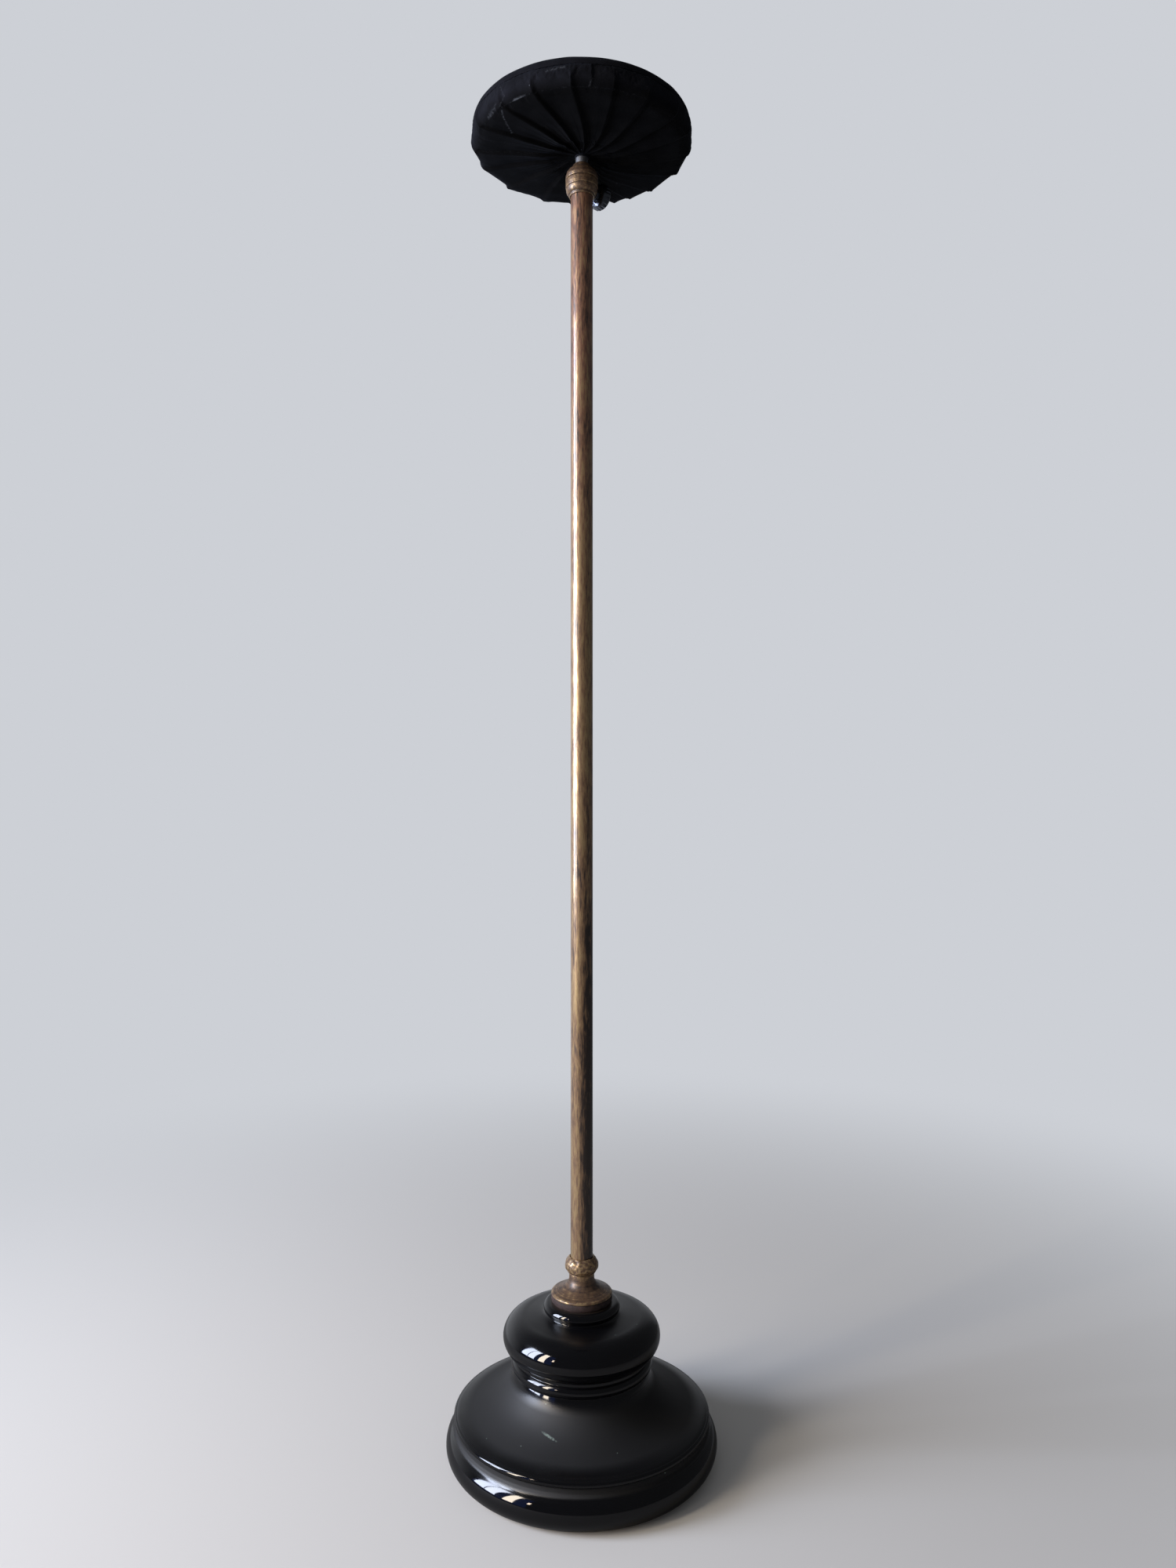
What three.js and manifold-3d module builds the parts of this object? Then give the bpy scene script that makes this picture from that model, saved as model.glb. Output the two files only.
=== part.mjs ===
// A milliner's hat stand: a black glazed foot, a brass column, and a velvet pad on a rod that slides and
// turns inside the column and is clamped by a thumb screw. Millimetres, +Z up, origin on the table at the
// centre of the foot.
import * as THREE from "three";
import { mergeVertices } from "three/addons/utils/BufferGeometryUtils.js";
import Module from "manifold-3d";

const wasm = await Module();
wasm.setup();

// Driving dimensions of the glazed foot
const footRollRadius = 60.6;
const footRollBulge = 7.3;
const footRollHeight = 15.2;
const footSeatWidth = 6.8;
const grooveInset = 4.4;
const grooveStep = 0.4;
const grooveHeight = 2.2;
const skirtEdgeBulge = 1.2;
const skirtEdgeHeight = 2.8;
const ogeeStep = 0.4;
const ogeeTopInset = 1;
const ogeeRise = 17.6;
const neckBeadRadius = 31.6;
const neckBeadBulge = 2.1;
const neckBeadHeight = 5.2;
const neckBeadStep = 0.6;
const bulbRadius = 35.3;
const bulbBulge = 10.1;
const bulbHeight = 17.2;
const bulbStep = 0.6;
const lipBeadRadius = 17.2;
const lipBeadBulge = 2.4;
const lipBeadHeight = 5;
const lipBeadStep = 1.1;
const baseWall = 7.6;
const ceilingMargin = 2;
const ceilingWall = 11.5;

// Driving dimensions of the fixings that hold the column to the foot
const plugWall = 0.9;
const studClearance = 0.15;
const baseHoleClearance = 1.6;
const leatherThickness = 3.3;
const leatherRounding = 0.7;
const underLeatherRadius = 14;
const underLeatherThickness = 2;
const tieWasherRadius = 12.5;
const tieWasherThickness = 2;
const nutAcrossFlats = 10;
const nutHeight = 5;
const nutChamfer = 0.7;
const studTail = 3;
const studEngagement = 12;
const plugLength = 20;

// Driving dimensions of the brass column
const flangeRadius = 13.7;
const flangeRimHeight = 1;
const flangeRimStep = 0.4;
const flangeNeckWall = 0.55;
const flangeFlareRise = 5.9;
const flangeNeckHeight = 2.4;
const tubeRadius = 5;
const tubeWall = 1;
const tubeLength = 491.5;
const tubeSocketDepth = 5;
const tubeFit = 0.1;
const beadHeight = 7.15;
const beadFilletHeight = 1.5;
const beadWall = 1;
const beadBulge = 1.4;

// Driving dimensions of the clamp at the top of the column
const collarMouthWall = 0.55;
const collarSocketDepth = 2.5;
const collarMouthHeight = 1.1;
const collarFlareRise = 2.8;
const collarStep = 0.15;
const collarBandHeight = 3.4;
const spigotWall = 1;
const spigotStep = 0.2;
const bushWall = 1.6;
const bushHeight = 3.3;
const capGroove = 0.3;
const capBandHeight = 3.2;
const capWall = 1.5;
const capShoulderRun = 1.25;
const capShoulderRise = 2;
const capStepRun = 1.3;
const capStepRise = 0.5;
const capTipWall = 0.3;
const capTipRise = 2.8;
const capFit = 0.15;

// Driving dimensions of the thumb screw
const screwBearing = 45;
const screwRise = 0.5;
const screwRadius = 1.35;
const screwClearance = 0.15;
const slugLength = 1.8;
const slugGap = 0.1;
const screwShoulderGap = 0.4;
const screwNeckRadius = 2.3;
const screwNeckLength = 1.5;
const knobRadius = 5.7;
const knobBackRise = 1.6;
const knobRimWidth = 2.4;
const knobRimRounding = 0.4;
const knobDome = 1.3;
const knobFluteDepth = 0.22;
const knobFluteCount = 20;

// Driving dimensions of the sliding rod
const rodRadius = 2.7;
const rodEndGap = 34;
const rodFit = 0.15;
const rodTailRadius = 1.9;
const guideLength = 12;
const guideFit = 0.15;
const guideEndPlay = 0.2;
const endScrewRadius = 0.9;
const endScrewLength = 6;
const endScrewHeadRadius = 3.1;
const endScrewHeadHeight = 1.6;

// Driving dimensions of the velvet pad
const padLift = 1.5;
const clothThickness = 0.8;
const clothGap = 0.3;
const gatherGap = 0.6;
const bellyRise = 3.8;
const padRadius = 49.6;
const padWidestRise = 3.2;
const creaseInset = 3.1;
const bandTopInset = 0.55;
const bandTopRise = 4.6;
const shoulderInset = 4.9;
const shoulderRise = 5.5;
const crownRise = 3.9;
const pleatCount = 18;
const pleatDepth = 1.1;
const pleatBump = 0.8;
const threadThickness = 0.7;
const plateRadius = 13;
const plateThickness = 1.6;
const hubRadius = 5;
const hubStep = 0.5;
const hubCap = 1.2;
const boardInset = 5.2;
const boardThickness = 6.5;
const boardTopRounding = 1.5;
const plateScrewCount = 3;
const plateScrewHeadRadius = 1.9;
const plateScrewHeadDepth = 1.1;
const plateScrewRadius = 0.9;
const plateScrewLength = 5.6;
const plateScrewClearance = 0.15;

// Facets round each kind of turned piece, one overrun for every cut, and the distance within which two
// vertices are one
const baseFacets = 48;
const metalFacets = 32;
const smallFacets = 16;
const clothFacets = 40;
const overrun = 1;
const weldDistance = 1e-4;

// Radii that follow from the sizes above
const rollCentre = footRollRadius - footRollBulge;
const grooveRadius = footRollRadius - grooveInset;
const ogeeTopRadius = neckBeadRadius - ogeeTopInset;
const ceilingRadius = underLeatherRadius + ceilingMargin;
const tubeBore = tubeRadius - tubeWall;
const tubeSocket = tubeRadius + tubeFit;
const studHole = tubeBore - tubeFit - plugWall;
const studRadius = studHole - studClearance;
const rodBore = rodRadius + rodFit;
const bushRadius = rodBore + bushWall;
const chamberRadius = bushRadius + capFit;
const spigotRadius = chamberRadius + spigotWall;
const capBore = spigotRadius + capFit;
const collarRadius = capBore + capWall;
const gatherRadius = rodRadius + gatherGap;
const creaseRadius = padRadius - creaseInset;
const bandTopRadius = padRadius - bandTopInset;
const shoulderRadius = padRadius - shoulderInset;
const boardRadius = padRadius - boardInset;

// Heights that follow from the sizes above, from the table upwards. The board rests on the velvet where the
// gathered underside has risen by boardSeatShare
const boardSeatShare = 0.82;
const grooveLevel = footRollHeight + grooveStep;
const skirtEdgeLevel = grooveLevel + grooveHeight;
const ogeeLevel = skirtEdgeLevel + skirtEdgeHeight + ogeeStep;
const ogeeTopLevel = ogeeLevel + ogeeRise;
const neckBeadMid = ogeeTopLevel + neckBeadStep + neckBeadHeight / 2;
const bulbMid = neckBeadMid + neckBeadHeight / 2 + bulbStep + bulbHeight / 2;
const lipBeadMid = bulbMid + bulbHeight / 2 + lipBeadStep + lipBeadHeight / 2;
const baseTop = lipBeadMid + lipBeadHeight / 2;
const ceilingLevel = baseTop - ceilingWall;
const flangeLevel = baseTop + leatherThickness;
const flangeTop = flangeLevel + flangeRimHeight + flangeFlareRise + flangeNeckHeight;
const tubeBottom = flangeTop - tubeSocketDepth;
const tubeTop = tubeBottom + tubeLength;
const collarLevel = tubeTop - collarSocketDepth;
const collarBandLevel = collarLevel + collarMouthHeight + collarFlareRise;
const collarTop = collarBandLevel + collarBandHeight;
const capLevel = collarTop + capGroove;
const capTop = capLevel + capBandHeight + capShoulderRise + capStepRise + capTipRise;
const gatherLevel = capTop + padLift;
const bellyLevel = gatherLevel + bellyRise;
const widestLevel = bellyLevel + padWidestRise;
const bandTopLevel = widestLevel + bandTopRise;
const shoulderLevel = bandTopLevel + shoulderRise;
const crownLevel = shoulderLevel + crownRise;
const boardLevel = overTheVelvet(gatherRadius + (creaseRadius - gatherRadius) * boardSeatShare);
const plateLevel = boardLevel - plateThickness;
const boardTop = boardLevel + boardThickness;
const hubBottom = overTheVelvet(hubRadius);
const hubTop = boardTop - hubStep;
const rodTop = hubTop - hubCap - rodFit;
const rodBottom = tubeBottom + plugLength + rodEndGap;
const screwLevel = tubeTop + screwRise + screwRadius + screwClearance;

function overTheVelvet(radius) {
  const share = (radius - gatherRadius) / (creaseRadius - gatherRadius);
  return gatherLevel + bellyRise * share + clothThickness + clothGap;
}

// Materials
const glaze = material(0x08080a, 0.06, 0);
const leather = material(0x5a2f22, 0.75, 0);
const agedBrass = material(0x7a5a34, 0.42, 1);
const wornBrass = material(0xa07c3c, 0.38, 1);
const nickel = material(0xb4b6ba, 0.25, 1);
const steel = material(0x84868a, 0.4, 1);
const beech = material(0xb08a5a, 0.6, 0);
const wadding = material(0xcfc8b8, 0.95, 0);
const velvet = material(0x0b0b10, 0.95, 0);
const thread = material(0x101526, 0.85, 0);

function material(color, roughness, metalness) {
  return new THREE.MeshStandardMaterial({ color, roughness, metalness });
}

// Outlines are lists of points with the radius as x and the height as y
function at(radius, height) {
  return new THREE.Vector2(radius, height);
}

function arc(radius, height, across, up, fromDegrees, toDegrees, steps) {
  const from = THREE.MathUtils.degToRad(fromDegrees);
  const to = THREE.MathUtils.degToRad(toDegrees);
  return new THREE.EllipseCurve(radius, height, across, up, from, to, to < from).getPoints(steps);
}

function flow(start, startPull, endPull, end, steps) {
  return new THREE.CubicBezierCurve(start, startPull, endPull, end).getPoints(steps);
}

function turned(outline, facets) {
  return new THREE.LatheGeometry(outline, facets).rotateX(Math.PI / 2);
}

function ring(innerRadius, outerRadius, bottom, top, facets) {
  const outline = [
    at(innerRadius, bottom),
    at(outerRadius, bottom),
    at(outerRadius, top),
    at(innerRadius, top),
    at(innerRadius, bottom),
  ];
  return turned(outline, facets);
}

function rod(radius, bottom, top, facets) {
  return turned([at(0, bottom), at(radius, bottom), at(radius, top), at(0, top)], facets);
}

// Solids, for the cuts and joins
function solidOf(geometry) {
  const bare = geometry.clone();
  bare.deleteAttribute("normal");
  bare.deleteAttribute("uv");
  const merged = mergeVertices(bare, weldDistance);
  const vertProperties = merged.attributes.position.array;
  const triVerts = new Uint32Array(merged.index.array);
  return new wasm.Manifold(new wasm.Mesh({ numProp: 3, vertProperties, triVerts }));
}

function geometryOf(solid) {
  const mesh = solid.getMesh();
  const geometry = new THREE.BufferGeometry();
  geometry.setAttribute("position", new THREE.BufferAttribute(mesh.vertProperties, 3));
  geometry.setIndex(new THREE.BufferAttribute(mesh.triVerts, 1));
  geometry.computeVertexNormals();
  return geometry;
}

function cut(geometry, ...cutters) {
  let solid = solidOf(geometry);
  for (const cutter of cutters) {
    solid = solid.subtract(solidOf(cutter));
  }
  return geometryOf(solid);
}

// A closed surface whose section changes with the angle round the axis
function wrapped(sectionAt, steps) {
  const positions = [];
  const index = [];
  const sections = [];
  for (let step = 0; step < steps; step += 1) {
    sections.push(sectionAt(step, (step / steps) * 2 * Math.PI));
  }
  const count = sections[0].length;
  sections.forEach((section, step) => {
    const angle = (step / steps) * 2 * Math.PI;
    for (const point of section) {
      positions.push(point.x * Math.cos(angle), point.x * Math.sin(angle), point.y);
    }
  });
  for (let step = 0; step < steps; step += 1) {
    const here = step * count;
    const there = ((step + 1) % steps) * count;
    for (let i = 0; i < count; i += 1) {
      const next = (i + 1) % count;
      index.push(here + i, there + i, there + next);
      index.push(here + i, there + next, here + next);
    }
  }
  const geometry = new THREE.BufferGeometry();
  geometry.setAttribute("position", new THREE.Float32BufferAttribute(positions, 3));
  geometry.setIndex(index);
  geometry.computeVertexNormals();
  return geometry;
}

// The foot is one glazed casting: a roll, a groove, a sharp-edged skirt that sweeps up in an ogee, a neck
// bead, a bulb and a lip, hollow underneath
const ogeeRunShares = [0.55, 0.1];
const ogeeRiseShares = [0.17, 0.4];
const bulbTopRunShares = [0.6, 0.18];
const bulbTopRiseShares = [0.33, 0.5];
const hollowPullShares = [0.42, 0.52];

function baseOutside() {
  const rollMid = footRollHeight / 2;
  const edgeCentre = grooveRadius - grooveStep / 2;
  const ogeeStart = at(edgeCentre - skirtEdgeBulge / 2, ogeeLevel);
  const ogeeEnd = at(ogeeTopRadius, ogeeTopLevel);
  const run = ogeeStart.x - ogeeEnd.x;
  const beadCentre = neckBeadRadius - neckBeadBulge;
  const bulbCentre = bulbRadius - bulbBulge;
  const lipCentre = lipBeadRadius - lipBeadBulge;
  const bulbTop = at(bulbCentre, bulbMid + bulbHeight / 2);
  const lipFoot = at(lipBeadRadius, bulbTop.y + lipBeadStep);
  const shelf = bulbTop.x - lipFoot.x;
  return [
    ...arc(rollCentre, rollMid, footRollBulge, rollMid, -90, 55, 7),
    at(grooveRadius, grooveLevel),
    ...arc(edgeCentre, skirtEdgeLevel + skirtEdgeHeight / 2, skirtEdgeBulge, skirtEdgeHeight / 2, -90, 90, 4),
    ...flow(
      ogeeStart,
      at(ogeeEnd.x + run * ogeeRunShares[0], ogeeLevel + ogeeRise * ogeeRiseShares[0]),
      at(ogeeEnd.x + run * ogeeRunShares[1], ogeeLevel + ogeeRise * ogeeRiseShares[1]),
      ogeeEnd,
      7,
    ),
    ...arc(beadCentre, neckBeadMid, neckBeadBulge, neckBeadHeight / 2, -70, 80, 3),
    ...arc(bulbCentre, bulbMid, bulbBulge, bulbHeight / 2, -62, 90, 8),
    ...flow(
      bulbTop,
      at(lipFoot.x + shelf * bulbTopRunShares[0], bulbTop.y + lipBeadStep * bulbTopRiseShares[0]),
      at(lipFoot.x + shelf * bulbTopRunShares[1], bulbTop.y + lipBeadStep * bulbTopRiseShares[1]),
      lipFoot,
      2,
    ).slice(1),
    ...arc(lipCentre, lipBeadMid, lipBeadBulge, lipBeadHeight / 2, -50, 90, 4),
  ];
}

function baseInside() {
  const mouth = rollCentre - footSeatWidth;
  const neck = neckBeadRadius - neckBeadBulge - baseWall;
  const bulb = bulbRadius - baseWall;
  const hole = studRadius + baseHoleClearance;
  return [
    at(hole, baseTop),
    at(hole, ceilingLevel),
    ...flow(
      at(ceilingRadius, ceilingLevel),
      at(bulb, ceilingLevel),
      at(bulb, bulbMid - bulbHeight / 2),
      at(neck, neckBeadMid),
      3,
    ),
    ...flow(
      at(neck, ogeeTopLevel),
      at(neck, ogeeTopLevel * hollowPullShares[0]),
      at(mouth, ogeeTopLevel * hollowPullShares[1]),
      at(mouth, 0),
      5,
    ),
  ];
}

function base() {
  const outline = [...baseOutside(), ...baseInside()];
  outline.push(outline[0].clone());
  return turned(outline, baseFacets);
}

// The fixings: leather above and below the glazed wall, a steel washer and nut under it, and the stud that
// draws the column down onto them
function leatherWasher() {
  const edge = flangeRadius - leatherRounding;
  const middle = flangeLevel - leatherThickness / 2;
  const outline = [
    at(studHole, baseTop),
    ...arc(edge, middle, leatherRounding, leatherThickness / 2, -90, 90, 4),
    at(studHole, flangeLevel),
    at(studHole, baseTop),
  ];
  return turned(outline, metalFacets);
}

const underLeatherLevel = ceilingLevel - underLeatherThickness;
const tieWasherLevel = underLeatherLevel - tieWasherThickness;
const nutLevel = tieWasherLevel - nutHeight;
const studBottom = nutLevel - studTail;

function underLeather() {
  return ring(studHole, underLeatherRadius, underLeatherLevel, ceilingLevel, metalFacets);
}

function tieWasher() {
  return ring(studHole, tieWasherRadius, tieWasherLevel, underLeatherLevel, metalFacets);
}

function tieNut() {
  const corner = nutAcrossFlats / 2 / Math.cos(Math.PI / 6);
  const flat = nutAcrossFlats / 2;
  const block = rod(corner, nutLevel, tieWasherLevel, 6);
  const rounding = turned(
    [
      at(0, nutLevel),
      at(flat, nutLevel),
      at(corner, nutLevel + nutChamfer),
      at(corner, tieWasherLevel - nutChamfer),
      at(flat, tieWasherLevel),
      at(0, tieWasherLevel),
    ],
    metalFacets,
  );
  const bore = rod(studHole, nutLevel - overrun, tieWasherLevel + overrun, smallFacets);
  const solid = solidOf(block).intersect(solidOf(rounding)).subtract(solidOf(bore));
  return geometryOf(solid);
}

function tieStud() {
  return rod(studRadius, studBottom, tubeBottom + studEngagement, smallFacets);
}

function columnPlug() {
  return ring(studHole, tubeBore - tubeFit, tubeBottom, tubeBottom + plugLength, metalFacets);
}

// The column: a flared brass flange, a turned bead above it and the drawn tube
const flangeFlareShares = [0.5, 0.36];

function footFlange() {
  const rimEdge = flangeRadius - flangeRimStep;
  const neckLevel = flangeTop - flangeNeckHeight;
  const neckRadius = tubeSocket + flangeNeckWall;
  const run = rimEdge - neckRadius;
  const rimTop = flangeLevel + flangeRimHeight;
  const outline = [
    at(studHole, flangeLevel),
    at(flangeRadius, flangeLevel),
    at(flangeRadius, rimTop - flangeRimStep),
    ...flow(
      at(rimEdge, rimTop),
      at(neckRadius + run * flangeFlareShares[0], rimTop + flangeFlareRise * flangeFlareShares[1]),
      at(neckRadius, rimTop + flangeFlareRise * flangeFlareShares[0]),
      at(neckRadius, neckLevel),
      6,
    ),
    at(neckRadius, flangeTop),
    at(tubeSocket, flangeTop),
    at(tubeSocket, tubeBottom),
    at(studHole, tubeBottom),
    at(studHole, flangeLevel),
  ];
  return turned(outline, metalFacets);
}

function columnBead() {
  const edge = tubeSocket + beadWall;
  const top = flangeTop + beadHeight;
  const middle = flangeTop + beadHeight / 2;
  const half = beadHeight / 2 - beadFilletHeight;
  const outline = [
    at(tubeSocket, flangeTop),
    at(edge, flangeTop),
    ...arc(edge, middle, beadBulge, half, -90, 90, 6),
    at(edge, top),
    at(tubeSocket, top),
    at(tubeSocket, flangeTop),
  ];
  return turned(outline, metalFacets);
}

function outerTube() {
  return ring(tubeBore, tubeRadius, tubeBottom, tubeTop, metalFacets);
}

// The clamp: a cup-shaped collar over the tube's end, with a spigot that the cap screws onto, and a bush
// between them that guides the rod
function acrossTheCollar(geometry) {
  geometry.rotateY(Math.PI / 2);
  geometry.rotateZ(THREE.MathUtils.degToRad(screwBearing));
  geometry.translate(0, 0, screwLevel);
  return geometry;
}

function clampCollar() {
  const mouthRadius = tubeSocket + collarMouthWall;
  const mouthTop = collarLevel + collarMouthHeight;
  const flareRun = collarRadius - collarStep - mouthRadius;
  const spigotTop = collarTop + bushHeight - spigotStep;
  const outline = [
    at(tubeSocket, collarLevel),
    at(mouthRadius, collarLevel),
    ...arc(mouthRadius, collarBandLevel, flareRun, collarBandLevel - mouthTop, -90, 0, 5),
    at(collarRadius, collarBandLevel),
    at(collarRadius, collarTop),
    at(spigotRadius, collarTop),
    at(spigotRadius, spigotTop),
    at(chamberRadius, spigotTop),
    at(chamberRadius, collarTop),
    at(rodBore, collarTop),
    at(rodBore, tubeTop + tubeFit),
    at(tubeSocket, tubeTop + tubeFit),
    at(tubeSocket, collarLevel),
  ];
  const hole = rod(screwRadius + screwClearance, rodRadius, collarRadius + overrun, smallFacets);
  return cut(turned(outline, metalFacets), acrossTheCollar(hole));
}

function guideBush() {
  return ring(rodBore, bushRadius, collarTop, collarTop + bushHeight, metalFacets);
}

function collarCap() {
  const bandTop = capLevel + capBandHeight;
  const shoulderTop = bandTop + capShoulderRise;
  const stepTop = shoulderTop + capStepRise;
  const seat = collarTop + bushHeight + capFit;
  const shoulder = collarRadius - capShoulderRun;
  const step = shoulder - capStepRun;
  const tip = rodBore + capTipWall;
  const outline = [
    at(capBore, capLevel),
    at(collarRadius, capLevel),
    ...arc(shoulder, bandTop, capShoulderRun, capShoulderRise, 0, 90, 4),
    at(step, stepTop),
    ...arc(tip, stepTop, step - tip, capTipRise, 30, 90, 3),
    at(rodBore, capTop),
    at(rodBore, seat),
    at(capBore, seat),
    at(capBore, capLevel),
  ];
  return turned(outline, metalFacets);
}

// The thumb screw lies across the collar and presses a loose brass slug on the rod
const slugStart = rodRadius + slugGap;
const screwTip = slugStart + slugLength + slugGap;
const shoulderStart = collarRadius + screwShoulderGap;

function clampSlug() {
  return acrossTheCollar(rod(screwRadius, slugStart, slugStart + slugLength, smallFacets));
}

function thumbScrew() {
  const back = shoulderStart + screwNeckLength;
  const rimStart = back + knobBackRise;
  const rimEnd = rimStart + knobRimWidth;
  const run = knobRadius - screwNeckRadius;
  const outline = [
    at(0, screwTip),
    at(screwRadius, screwTip),
    at(screwRadius, shoulderStart),
    at(screwNeckRadius, shoulderStart),
    ...arc(screwNeckRadius, rimStart, run - knobRimRounding, knobBackRise, -90, -15, 4),
    at(knobRadius, rimStart + knobRimRounding),
    at(knobRadius, rimEnd - knobRimRounding),
    ...arc(0, rimEnd, knobRadius - knobRimRounding, knobDome, 0, 90, 5),
  ];
  const section = outline.slice(1, -1);
  const flutes = knobFluteCount * 2;
  const rimFirst = section.findIndex((point) => point.x === knobRadius);
  const positions = [];
  const index = [];
  for (let step = 0; step < flutes; step += 1) {
    const angle = (step / flutes) * 2 * Math.PI;
    const depth = step % 2 === 0 ? knobFluteDepth : 0;
    section.forEach((point, i) => {
      const fluted = i === rimFirst || i === rimFirst + 1;
      const radius = fluted ? point.x - depth : point.x;
      positions.push(radius * Math.cos(angle), radius * Math.sin(angle), point.y);
    });
  }
  const count = section.length;
  const tip = positions.length / 3;
  positions.push(0, 0, outline[0].y);
  positions.push(0, 0, outline[outline.length - 1].y);
  for (let step = 0; step < flutes; step += 1) {
    const here = step * count;
    const there = ((step + 1) % flutes) * count;
    index.push(tip, there, here);
    index.push(tip + 1, here + count - 1, there + count - 1);
    for (let i = 0; i < count - 1; i += 1) {
      index.push(here + i, there + i, there + i + 1);
      index.push(here + i, there + i + 1, here + i + 1);
    }
  }
  const geometry = new THREE.BufferGeometry();
  geometry.setAttribute("position", new THREE.Float32BufferAttribute(positions, 3));
  geometry.setIndex(index);
  geometry.computeVertexNormals();
  return acrossTheCollar(geometry);
}

// The rod slides on a guide at its tail, which a screw holds on and which runs in the tube's bore
function innerRod() {
  const shoulder = rodBottom + guideEndPlay + guideLength + guideEndPlay;
  const outline = [
    at(0, rodBottom),
    at(rodTailRadius, rodBottom),
    at(rodTailRadius, shoulder),
    at(rodRadius, shoulder),
    at(rodRadius, rodTop),
    at(0, rodTop),
  ];
  const hole = rod(
    endScrewRadius + screwClearance,
    rodBottom - overrun,
    rodBottom + endScrewLength + screwClearance,
    smallFacets,
  );
  return cut(turned(outline, metalFacets), hole);
}

function rodGuide() {
  const bottom = rodBottom + guideEndPlay;
  return ring(rodTailRadius + rodFit, tubeBore - guideFit, bottom, bottom + guideLength, metalFacets);
}

function endScrew() {
  const outline = [
    at(0, rodBottom - endScrewHeadHeight),
    at(endScrewHeadRadius, rodBottom - endScrewHeadHeight),
    at(endScrewHeadRadius, rodBottom),
    at(endScrewRadius, rodBottom),
    at(endScrewRadius, rodBottom + endScrewLength),
    at(0, rodBottom + endScrewLength),
  ];
  return turned(outline, smallFacets);
}

// The pad's hard parts: a brass plate with a hub that the rod screws into, and a turned wooden board
function plateScrewOutline(clearance) {
  const headRadius = plateScrewHeadRadius + clearance;
  const shankRadius = plateScrewRadius + clearance;
  const tip = plateLevel + plateScrewLength + clearance;
  return [
    at(headRadius, plateLevel),
    at(shankRadius, plateLevel + plateScrewHeadDepth),
    at(shankRadius, tip),
    at(0, tip),
  ];
}

function plateScrew() {
  return turned([at(0, plateLevel), ...plateScrewOutline(0)], smallFacets);
}

function plateScrewPlaces() {
  const places = [];
  const circle = (hubRadius + plateRadius) / 2;
  for (let i = 0; i < plateScrewCount; i += 1) {
    const angle = (i / plateScrewCount) * 2 * Math.PI + Math.PI / 2;
    places.push(at(circle * Math.cos(angle), circle * Math.sin(angle)));
  }
  return places;
}

function plateScrewCutters() {
  const outline = plateScrewOutline(plateScrewClearance);
  const mouth = at(outline[0].x, plateLevel - overrun);
  const cutter = turned([at(0, mouth.y), mouth, ...outline], smallFacets);
  return plateScrewPlaces().map((place) => cutter.clone().translate(place.x, place.y, 0));
}

function mountingPlate() {
  const bore = rodRadius + rodFit;
  const outline = [
    at(bore, hubBottom),
    at(hubRadius, hubBottom),
    at(hubRadius, plateLevel),
    at(plateRadius, plateLevel),
    at(plateRadius, boardLevel),
    at(hubRadius, boardLevel),
    at(hubRadius, hubTop),
    at(0, hubTop),
    at(0, hubTop - hubCap),
    at(bore, hubTop - hubCap),
    at(bore, hubBottom),
  ];
  return cut(turned(outline, metalFacets), ...plateScrewCutters());
}

function padBoard() {
  const hole = hubRadius + rodFit;
  const edge = boardRadius - boardTopRounding;
  const outline = [
    at(hole, boardLevel),
    at(gatherRadius + (creaseRadius - gatherRadius) * boardSeatShare, boardLevel),
    at(boardRadius, overTheVelvet(boardRadius)),
    ...arc(edge, boardTop - boardTopRounding, boardTopRounding, boardTopRounding, 0, 90, 3),
    at(hole, boardTop),
    at(hole, boardLevel),
  ];
  return cut(turned(outline, clothFacets), ...plateScrewCutters());
}

// The pad's soft parts. The cover's outer line is shared: the velvet follows it, and the wadding lies a
// cloth's thickness and a small gap inside it
const crownPullShares = [0.62, 0.3];

function crownLine(inset, steps) {
  return flow(
    at(shoulderRadius - inset, shoulderLevel - inset),
    at(shoulderRadius * crownPullShares[0], crownLevel - inset - crownRise * crownPullShares[1]),
    at(shoulderRadius * crownPullShares[1], crownLevel - inset),
    at(0, crownLevel - inset),
    steps,
  );
}

function padWadding() {
  const inset = clothThickness + clothGap;
  const boardGap = boardRadius + clothGap;
  const floor = boardTop + clothGap;
  const hem = overTheVelvet(creaseRadius);
  const outline = [
    at(0, floor),
    at(boardGap, floor),
    at(boardGap, hem),
    at(creaseRadius - inset / 2, hem),
    at(padRadius - inset - pleatBump / 2, widestLevel + inset / 2),
    at(bandTopRadius - inset, bandTopLevel),
    ...crownLine(inset, 5),
  ];
  return turned(outline, clothFacets);
}

function velvetCrown() {
  const hemLevel = bandTopLevel + clothGap;
  const outline = [
    at(bandTopRadius - clothThickness, hemLevel),
    at(bandTopRadius, hemLevel),
    ...crownLine(0, 5),
    ...crownLine(clothThickness, 5).reverse(),
  ];
  outline.push(outline[0].clone());
  return turned(outline, clothFacets);
}

// The velvet skirt goes round the rim and is gathered under the board into pleats that run in to the rod. A
// pleat's fold stands out at the crease as a corner, with the cloth pulled nearly straight to the next one
const pleatShapeShares = [1, 0.3, 0, 0.4];
const bellyRunShares = [0, 0.12, 0.36, 0.66, 0.88];
const pleatReliefShares = [0.35, 0.75, 1, 0.8, 0.5];

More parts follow.
